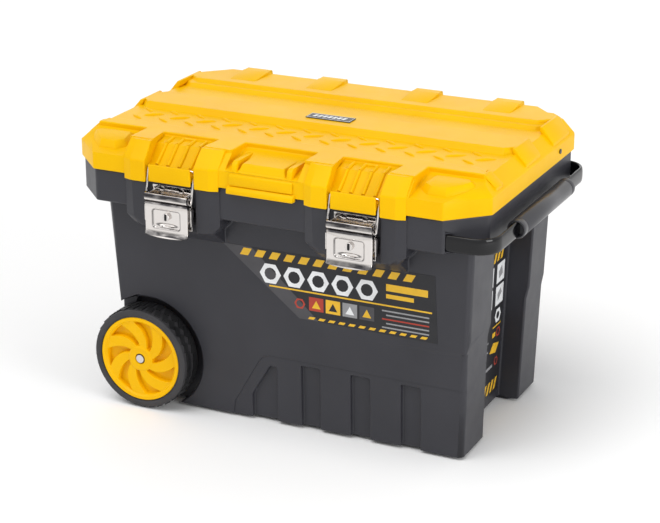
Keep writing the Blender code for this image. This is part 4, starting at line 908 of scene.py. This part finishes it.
for side, sign in latchSides:
    latchLever(side, sign)
    latchBase(side, sign)
    word = side.lower()
    plug = softened("lock_plug_" + word, "lockPlug" + side, "brightSteel", keyhole["plugRound"],
                    keyhole["plugSteps"], keyhole["plugAngle"])
    plugLow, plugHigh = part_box("lock_plug_" + word)
    centre = Vector(((plugLow.x + plugHigh.x) / 2, plugLow.y, (plugLow.z + plugHigh.z) / 2))
    plug = joinPieces("lockPlug" + side, [plug, keySlot(centre)])
    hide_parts("lock_plug_" + word)
    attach(plug, "lock_" + word)
print("latches pressed")


# Wheels: a dished hub with seven swept pockets, and a tyre with tread lugs
wheelSizes = {"x": -0.204, "radius": 0.075, "face": 0.180, "width": 0.038, "hub": 0.0627, "pockets": 7,
              "pocketInner": 0.0205, "pocketOuter": 0.0535, "sweep": 0.62, "half": 0.26, "lead": 0.7,
              "pocketDepth": 0.0078, "pocketSide": 0.0011, "pocketEnd": 0.0012,
              "ringEdge": 0.0572, "ringDrop": 0.0020, "ringSlope": 0.0016,
              "bossEdge": 0.0165, "bossRise": 0.0012, "bossSlope": 0.0025,
              "bore": 0.0078, "boreDepth": 0.0042, "wall": 0.006, "web": 0.013, "backBoss": 0.016,
              "round": 0.0012, "turns": 616, "rings": 58}


def hubDepth(radius, turn):
    # Depth of the hub's outer face below its rim, at one spot.
    sizes = wheelSizes
    depth = sizes["ringDrop"] * (1 - ease(sizes["ringEdge"] - sizes["ringSlope"], sizes["ringEdge"], radius))
    depth -= sizes["bossRise"] * (1 - ease(sizes["bossEdge"], sizes["bossEdge"] + sizes["bossSlope"], radius))
    depth += sizes["round"] * ease(sizes["hub"] - sizes["round"], sizes["hub"], radius) ** 2
    inner, outer = sizes["pocketInner"], sizes["pocketOuter"]
    share = (radius - inner) / (outer - inner)
    wide = sizes["half"] * (1 + min(max(share, 0), 1)) / 2
    pitch = 2 * math.pi / sizes["pockets"]
    place = (turn - sizes["sweep"] * share + pitch / 2) % pitch - pitch / 2
    soft = sizes["pocketSide"] / radius
    lead = wide * sizes["lead"]
    across = ease(-wide - soft, -wide, place) * (1 - ease(lead, lead + soft, place))
    end = sizes["pocketEnd"]
    along = ease(inner - end, inner, radius) * (1 - ease(outer, outer + end, radius))
    return depth + sizes["pocketDepth"] * across * along


def wheelHub(word, side):
    sizes = wheelSizes
    middle = at(sizes["x"], side * sizes["face"], sizes["radius"])
    bore, hub, width, turns = sizes["bore"], sizes["hub"], sizes["width"], sizes["turns"]
    reach = [bore + (hub - bore) * step / sizes["rings"] for step in range(sizes["rings"] + 1)]
    back = [(hub, width), (hub - sizes["wall"], width), (hub - sizes["wall"], sizes["web"]),
            (sizes["backBoss"], sizes["web"]), (sizes["backBoss"], width),
            (bore, width), (bore, sizes["boreDepth"])]
    rings = []
    for radius, fixed in [(radius, None) for radius in reach] + back:
        ring = []
        for step in range(turns):
            turn = 2 * math.pi * step / turns
            depth = hubDepth(radius, turn) if fixed is None else fixed
            spin = turn if side < 0 else math.pi - turn
            ring.append(middle + Vector((radius * math.cos(spin), -side * depth, radius * math.sin(spin))))
        rings.append(ring)
    hub = toPiece("hubMoulding" + word.title(), loft(rings, True), "hubPlastic", smooth=50)
    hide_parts("wheel_hub_" + word)
    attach(hub, "wheel_" + word)


tyre = {"lugs": 36, "lugSize": (0.0078, 0.0150, 0.0034), "lugDrop": 0.0002,
        "rows": ((0.0112, 0.0), (0.0276, 0.5)), "around": 96,
        "wall": ((0.0630, 0.0), (0.0642, 0.0008), (0.0652, 0.0), (0.0712, 0.0), (0.0727, 0.0007),
                 (0.0731, 0.0020))}


def lugTree():
    tree, wires = nodeTree("treadLugs", {"Lugs": "Int", "Radius": "Float", "Size": "Vector", "Turn": "Vector",
                                         "Finish": "Material"})
    ring = addNode(tree, "GeometryNodeMeshCircle", {}, {"Vertices": wires["Lugs"], "Radius": wires["Radius"]})
    lug = addNode(tree, "GeometryNodeMeshCube", {}, {"Size": wires["Size"]})
    place = addNode(tree, "GeometryNodeInputPosition", {}, {})
    aim = addNode(tree, "FunctionNodeAlignRotationToVector", {"axis": "Z"}, {"Vector": place})
    lugs = addNode(tree, "GeometryNodeInstanceOnPoints", {},
                   {"Points": ring, "Instance": lug, "Rotation": aim})
    turned = addNode(tree, "GeometryNodeTransform", {}, {"Geometry": lugs, "Rotation": wires["Turn"]})
    endTree(tree, turned, wires["Finish"])
    return tree


def wheelTyre(word, side, lugNodes):
    sizes = wheelSizes
    middle = at(sizes["x"], side * sizes["face"], sizes["radius"])
    outer = list(tyre["wall"])
    inner = [(radius, sizes["width"] - depth) for radius, depth in reversed(outer)]
    casing = lathe(outer + inner, tyre["around"], middle, side)
    pieces = [toPiece("tyreCasing", casing, "tyreRubber", smooth=40)]
    reach = sizes["radius"] - tyre["lugDrop"] - tyre["lugSize"][2] / 2
    for depth, shift in tyre["rows"]:
        spin = 2 * math.pi * shift / tyre["lugs"]
        ring = bakeTree("treadLugs", lugNodes, {
            "Lugs": tyre["lugs"], "Radius": reach, "Size": tyre["lugSize"],
            "Turn": (math.pi / 2, spin, 0)}, "treadRubber")
        ring.data.transform(Matrix.Translation(middle - Vector((0, side * depth, 0))))
        pieces.append(ring)
    piece = joinPieces("tyreTread" + word.title(), pieces)
    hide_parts("tyre_" + word)
    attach(piece, "wheel_" + word)


# The dome's line gives shares of its radius with depths
cap = {"edge": 0.0076, "dome": 0.0040, "domeLine": ((0.45, 0.0002), (0.8, 0.0007), (1, 0.0016)),
       "middle": 0.0001, "floor": 0.8, "around": 32}


def axleCap(word, side):
    # The riveted axle end: a bright dome in a hole, with the hole's shade painted as a dark red-brown disc.
    low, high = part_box("axle_cap_" + word)
    middle = (low + high) / 2
    middle.y = high.y if side > 0 else low.y
    deep = high.y - low.y
    floor = deep * cap["floor"]
    domeLine = [(cap["dome"] * share, depth) for share, depth in cap["domeLine"]]
    dome = [(cap["middle"], 0.0)] + domeLine + [(cap["dome"], deep), (cap["middle"], deep)]
    well = [(cap["middle"], floor), (cap["edge"], floor), (cap["edge"], deep), (cap["middle"], deep)]
    # The well is painted shade: a dark red-brown disc in the hole round the dome.
    pieces = [toPiece("dome", lathe(dome, cap["around"], middle, side), "brightSteel", smooth=50),
              toPiece("well", lathe(well, cap["around"], middle, side), "shadowRed", smooth=50)]
    piece = joinPieces("axleEnd" + word.title(), pieces)
    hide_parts("axle_cap_" + word)
    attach(piece, "body")


lugNodes = lugTree()
for word, side in wheelSides:
    wheelHub(word, side)
    wheelTyre(word, side, lugNodes)
    axleCap(word, side)
print("wheels made")


# Pull-out handle: a rounded strip and a thick sleeve with open, shadowed ends; lines step from bore or radius
strip = {"thickness": 0.006, "bend": 0.030, "bendSteps": 14, "around": 28, "roundness": 0.72}
grip = {"x": 0.323, "y": 0.003, "z": 0.322, "radius": 0.013, "half": 0.100, "bore": 0.0100, "open": 0.007,
        "boreLine": ((-0.001, 0.007), (0, 0.006), (0, 0.0012), (0.0010, 0.0)),
        "outerLine": ((-0.0012, 0.0), (-0.0003, 0.0005), (0, 0.0016), (0, 0.0110), (-0.0005, 0.0116),
                      (-0.0005, 0.0124), (0, 0.0130)),
        "middle": 0.0001, "around": 64}


def stripPath(low, high):
    # The middle line of the bent strip, seen from above, from its box.
    inset, bend = strip["thickness"] / 2, strip["bend"]
    near, far, out = low.y + inset, high.y - inset, high.x - inset
    path = [Vector((low.x, near, 0))]
    for middleY, start in ((near + bend, -90), (far - bend, 0)):
        for step in range(strip["bendSteps"] + 1):
            turn = math.radians(start + 90 * step / strip["bendSteps"])
            path.append(Vector((out - bend + bend * math.cos(turn), middleY + bend * math.sin(turn), 0)))
    return path + [Vector((low.x, far, 0))]


def softPower(value):
    return math.copysign(abs(value) ** strip["roundness"], value)


def handleStrip():
    # The strip has a soft, nearly oval section all along its bend.
    low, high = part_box("handle_bar")
    path = stripPath(low, high)
    middleZ, halfHeight = (low.z + high.z) / 2, (high.z - low.z) / 2
    turns = [2 * math.pi * step / strip["around"] for step in range(strip["around"])]
    rings = []
    for index, spot in enumerate(path):
        along = path[min(index + 1, len(path) - 1)] - path[max(index - 1, 0)]
        across = Vector((-along.y, along.x, 0)).normalized() * strip["thickness"] / 2
        ring = []
        for turn in turns:
            rise = Vector((0, 0, middleZ + halfHeight * softPower(math.sin(turn))))
            ring.append(spot + across * softPower(math.cos(turn)) + rise)
        rings.append(ring)
    piece = toPiece("handleStrip", loft(rings), "blackPlastic", smooth=50)
    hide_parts("handle_bar")
    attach(piece, "handle")


def gripSleeve():
    half = grip["half"]
    end = [(grip["middle"], grip["open"])]
    end += [(grip["bore"] + step, depth) for step, depth in grip["boreLine"]]
    end += [(grip["radius"] + step, depth) for step, depth in grip["outerLine"]]
    profile = end + [(reach, 2 * half - depth) for reach, depth in reversed(end)]
    middle = at(grip["x"], grip["y"] - half, grip["z"])
    sleeve = toPiece("gripSleeve", lathe(profile, grip["around"], middle, -1), "gripPlastic", smooth=45)
    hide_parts("handle_grip")
    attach(sleeve, "handle")


handleStrip()
gripSleeve()
print("handle made")


# Stickers: plain printed film with stripes, nuts, tiles and bars
film = {"base": 0.0003, "ink": 0.00042, "sink": 0.0002, "fade": 1.2, "mark": 1.15, "slack": 0.0001}


def filmShape(name, points, spot, low, high, finish):
    # A flat outline given a film's thickness; spot turns (across, up, out) into a place.
    shape = loft([[spot(across, up, out) for across, up in points] for out in (low, high)])
    bmesh.ops.triangulate(shape, faces=shape.faces)
    return toPiece(name, shape, finish, smooth=30)


def inkShape(points, spot, finish):
    return filmShape("ink", points, spot, film["base"] / 2, film["ink"], finish)


def markShape(corners, x, z, size, spot, finish):
    # A small figure printed over a tile; its corners are shares of the tile.
    points = [(x + size * across, z + size * up) for across, up in corners]
    return filmShape("ink", points, spot, film["base"], film["ink"] * film["mark"], finish)


def block(x0, x1, z0, z1, lean=0.0):
    return [(x0, z0), (x1, z0), (x1 + lean, z1), (x0 + lean, z1)]


def nutRing(x, z, outer, inner, spot, finish):
    # A hexagon with a round hole, as six plain segments.
    flat = outer * math.cos(math.radians(30))
    pieces = []
    for corner in range(6):
        turns = [math.radians(60 * corner + 60 * share) for share in (0, 0.5, 1)]
        edge = [(x + reach * math.cos(turn), z + reach * math.sin(turn))
                for reach, turn in zip((outer, flat, outer), turns)]
        hole = [(x + inner * math.cos(turn), z + inner * math.sin(turn)) for turn in reversed(turns)]
        pieces.append(inkShape(edge + hole, spot, finish))
    return pieces


def stripes(x0, x1, z0, z1, wide, gap, lean, spot, finish):
    pieces = []
    x = x0
    while x + wide <= x1 + film["slack"]:
        pieces.append(inkShape(block(x, x + wide, z0, z1, lean), spot, finish))
        x += wide + gap
    return pieces


frontSticker = {"wall": 0.151, "draft": 0.027,
                "outline": ((-0.078, 0.263), (0.037, 0.170), (0.240, 0.168), (0.236, 0.264)),
                "fade": ((-0.078, 0.263), (0.037, 0.170), (0.066, 0.170), (-0.034, 0.263)),
                "topStripes": (-0.052, 0.224, 0.2500, 0.2605, 0.0125, 0.0095, 0.006),
                "lowStripes": (0.050, 0.232, 0.1715, 0.1752, 0.0085, 0.0065, 0.003),
                "nutX": (-0.006, 0.030, 0.066, 0.102, 0.138), "nut": (0.2285, 0.0162, 0.00891),
                "blocks": ((0.166, 0.226, 0.232, 0.242), (0.166, 0.206, 0.2215, 0.2275),
                           (-0.008, 0.232, 0.2098, 0.2120)),
                "tileZ": 0.1845, "tileSize": 0.0215, "tileRise": 0.92,
                "tiles": ((0.052, "redInk", "yellowInk"), (0.077, "yellowInk", "darkVinyl"),
                          (0.102, "greyInk", "paleInk"), (0.127, "fadeInk", "yellowInk")),
                "mark": ((0.20, 0.18), (0.80, 0.18), (0.5, 0.72)),
                "barX": (0.160, 0.228), "barZ": (0.178, 0.184, 0.190, 0.196, 0.202), "barRise": 0.0020,
                "barShift": 0.006, "redBar": 2, "ring": (0.038, 0.192, 0.0082, 0.0052)}


def makeFrontSticker():
    look = frontSticker

    def spot(across, up, out):
        return at(across, -(look["wall"] + look["draft"] * up) - out, up)

    pieces = [filmShape("film", look["outline"], spot, -film["sink"], film["base"], "darkVinyl"),
              filmShape("fade", look["fade"], spot, film["base"] / 2, film["base"] * film["fade"], "fadeInk")]
    pieces += stripes(*look["topStripes"], spot, "yellowInk")
    for x in look["nutX"]:
        pieces += nutRing(x, *look["nut"], spot, "paleInk")
    for bounds in look["blocks"]:
        pieces.append(inkShape(block(*bounds), spot, "yellowInk"))
    low, size = look["tileZ"], look["tileSize"]
    for x, ground, mark in look["tiles"]:
        pieces.append(inkShape(block(x, x + size, low, low + size * look["tileRise"]), spot, ground))
        pieces.append(markShape(look["mark"], x, low, size, spot, mark))
    left, right = look["barX"]
    for step, z in enumerate(look["barZ"]):
        bar = block(left + look["barShift"] * (step % 2), right, z, z + look["barRise"])
        pieces.append(inkShape(bar, spot, "redInk" if step == look["redBar"] else "greyInk"))
    pieces += nutRing(*look["ring"], spot, "redInk")
    pieces += stripes(*look["lowStripes"], spot, "yellowInk")
    piece = joinPieces("frontSticker", pieces)
    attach(piece, "body")


endSticker = {"wall": 0.279, "draft": 0.030, "depth": 0.035, "half": 0.0655, "low": 0.017, "high": 0.290,
              "stripeX": (-0.0615, 0.0535), "stripe": (0.0070, 0.0062, 0.008), "topStripes": (0.224, 0.243),
              "lowStripes": (0.023, 0.040), "nutX": (-0.034, 0.000, 0.047), "nut": (0.1385, 0.0115, 0.0058),
              "underline": (0.030, 0.060, 0.1225, 0.1245), "tileX": (-0.050, -0.008, 0.034),
              "tileZ": (0.189, 0.155), "tileSize": 0.029,
              "marks": (((0.30, 0.20), (0.80, 0.35), (0.62, 0.82), (0.22, 0.58)),
                        ((0.30, 0.20), (0.80, 0.55), (0.62, 0.82), (0.22, 0.58))),
              "ring": (0.052, 0.1115, 0.0078, 0.0050), "chip": (0.030, 0.041, 0.108, 0.115),
              "slab": ((0.022, 0.087), (0.046, 0.081), (0.058, 0.093), (0.036, 0.099)),
              "bars": 4, "barX": (-0.052, 0.010), "barZ": 0.084, "barPitch": 0.007, "barRise": 0.0022,
              "barShift": 0.006, "lowRing": (0.050, 0.067, 0.0072, 0.0046),
              "lowBar": (-0.046, 0.036, 0.062, 0.0665)}


def makeEndSticker():
    look = endSticker

    def spot(across, up, out):
        return at(look["wall"] + look["draft"] * up - look["depth"] + out, across, up)

    ground = block(-look["half"], look["half"], look["low"], look["high"])
    pieces = [filmShape("film", ground, spot, -film["sink"], film["base"], "darkVinyl")]
    pieces += stripes(*look["stripeX"], *look["topStripes"], *look["stripe"], spot, "yellowInk")
    for x in look["nutX"]:
        pieces += nutRing(x, *look["nut"], spot, "paleInk")
    pieces.append(inkShape(block(*look["underline"]), spot, "yellowInk"))
    size = look["tileSize"]
    for z, mark in zip(look["tileZ"], look["marks"]):
        for x in look["tileX"]:
            pieces.append(inkShape(block(x, x + size, z, z + size), spot, "paleInk"))
            pieces.append(markShape(mark, x, z, size, spot, "greyInk"))
    pieces += nutRing(*look["ring"], spot, "redInk")
    pieces.append(inkShape(block(*look["chip"]), spot, "yellowInk"))
    pieces.append(inkShape(look["slab"], spot, "yellowInk"))
    left, right = look["barX"]
    for step in range(look["bars"]):
        z = look["barZ"] + step * look["barPitch"]
        bar = block(left, right + look["barShift"] * (step % 2), z, z + look["barRise"])
        pieces.append(inkShape(bar, spot, "greyInk"))
    pieces += nutRing(*look["lowRing"], spot, "redInk")
    pieces.append(inkShape(block(*look["lowBar"]), spot, "greyInk"))
    pieces += stripes(*look["stripeX"], *look["lowStripes"], *look["stripe"], spot, "yellowInk")
    piece = joinPieces("endSticker", pieces)
    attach(piece, "body")


makeFrontSticker()
makeEndSticker()
print("stickers laid")


# A lip that carries the wheel-end wall down inside each wheel arch, clear of the tyre
archLip = {"inner": 0.0640, "outer": 0.0853, "x": (-0.2506, -0.2240), "y": (0.1262, 0.1408), "steps": 12,
           "fade": 0.5, "thin": 0.98}


def makeArchLip(word, side):
    look = archLip

    def spot(across, up, out):
        return at(across, side * out, up)

    start, end = look["x"]
    shares = [step / look["steps"] for step in range(look["steps"] + 1)]
    rise = look["outer"] - look["inner"]
    edge = [(share, look["inner"] + rise * ease(look["fade"], 1, share) * look["thin"]) for share in shares]
    edge += [(share, look["outer"]) for share in reversed(shares)]
    points = []
    for share, radius in edge:
        x = start + (end - start) * share
        points.append((x, wheelSizes["radius"] + math.sqrt(radius ** 2 - (x - wheelSizes["x"]) ** 2)))
    lip = filmShape("archLip" + word.title(), points, spot, *look["y"], "charcoalPlastic")
    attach(lip, "body")


for word, side in wheelSides:
    makeArchLip(word, side)
print("arch lips set")


# Remaining CAD pieces keep their shapes and take these finishes
nodeFinishes = {"hinge_": "dullSteel", "latch_": "brightSteel", "lock_": "brightSteel",
                "axle_": "brightSteel", "stay_": "blackPlastic", "handle_stop": "blackPlastic"}
for name, item in nodes.items():
    for start, finish in nodeFinishes.items():
        if name.startswith(start) and not item.hide_render:
            item.data.materials.clear()
            item.data.materials.append(finishes[finish])
print("small pieces finished")


# Floor, light and camera; a lamp gives its place, size and power
stage = {"floorHalf": 30.0, "floorDrop": 0.0006, "floorColour": (0.98, 0.98, 0.98), "floorRough": 0.8,
         "world": 0.50, "sun": 1.50, "sunTurn": (20, -12, 0), "sunSpread": 50, "aim": (0, 0, 0.2),
         "side": ((2.4, -0.9, 1.0), 1.2, 26), "front": ((-1.6, -2.0, 1.6), 1.4, 6),
         "back": ((-1.3, 2.8, 1.5), 2.2, 9)}


def makeWorld():
    world = bpy.data.worlds.new("studio")
    scene.world = world
    world.use_nodes = True
    tree = world.node_tree
    backdrop = tree.nodes["Background"]
    backdrop.inputs["Color"].default_value = (1, 1, 1, 1)
    # The backdrop is white to the eye and in reflections, and lights the chest at its own level.
    seen = addNode(tree, "ShaderNodeLightPath", {}, {}, "Is Camera Ray")
    for ray in ("Is Glossy Ray", "Is Transmission Ray"):
        seen = seen.maths("MAXIMUM", seen, addNode(tree, "ShaderNodeLightPath", {}, {}, ray))
    feed(tree, backdrop, {"Strength": seen * (1 - stage["world"]) + stage["world"]})


def makeSun():
    light = bpy.data.lights.new("skySun", "SUN")
    light.energy = stage["sun"]
    light.angle = math.radians(stage["sunSpread"])
    lamp = hold("skySun", light)
    lamp.rotation_euler = [math.radians(turn) for turn in stage["sunTurn"]]


def makeFloor():
    shape = bmesh.new()
    bmesh.ops.create_grid(shape, x_segments=2, y_segments=2, size=stage["floorHalf"],
                          matrix=Matrix.Translation((0, 0, -stage["floorDrop"])))
    floor = hold("floor", toMesh("floor", shape))
    fixed = {"Base Color": (*stage["floorColour"], 1), "Roughness": stage["floorRough"]}
    floor.data.materials.append(startMaterial("paleFloor", fixed)[0])


def makeLamp(name, place, size, power):
    light = bpy.data.lights.new(name, "AREA")
    light.shape = "SQUARE"
    light.size = size
    light.energy = power
    lamp = hold(name, light)
    lamp.location = place
    lamp.rotation_euler = (Vector(stage["aim"]) - Vector(place)).to_track_quat("-Z", "Y").to_euler()


camera = {"azimuth": 25.456, "elevation": 20.193, "distance": 2.7827, "target": (0.0131, -0.0090, 0.1998),
          "focal": 1954, "pictureWidth": 660, "sensor": 36}


def makeCamera():
    view = bpy.data.cameras.new("photoCamera")
    view.sensor_width = camera["sensor"]
    view.lens = camera["focal"] * camera["sensor"] / camera["pictureWidth"]
    eye = hold("photoCamera", view)
    turn, rise = math.radians(camera["azimuth"]), math.radians(camera["elevation"])
    back = Vector((math.sin(turn) * math.cos(rise), -math.cos(turn) * math.cos(rise), math.sin(rise)))
    eye.location = at(*camera["target"]) + back * camera["distance"]
    eye.rotation_euler = (-back).to_track_quat("-Z", "Y").to_euler()
    scene.camera = eye


makeWorld()
makeSun()
makeFloor()
for name in ("side", "front", "back"):
    makeLamp(name + "Lamp", *stage[name])
makeCamera()
scene.view_settings.view_transform = "Standard"
print("stage set")
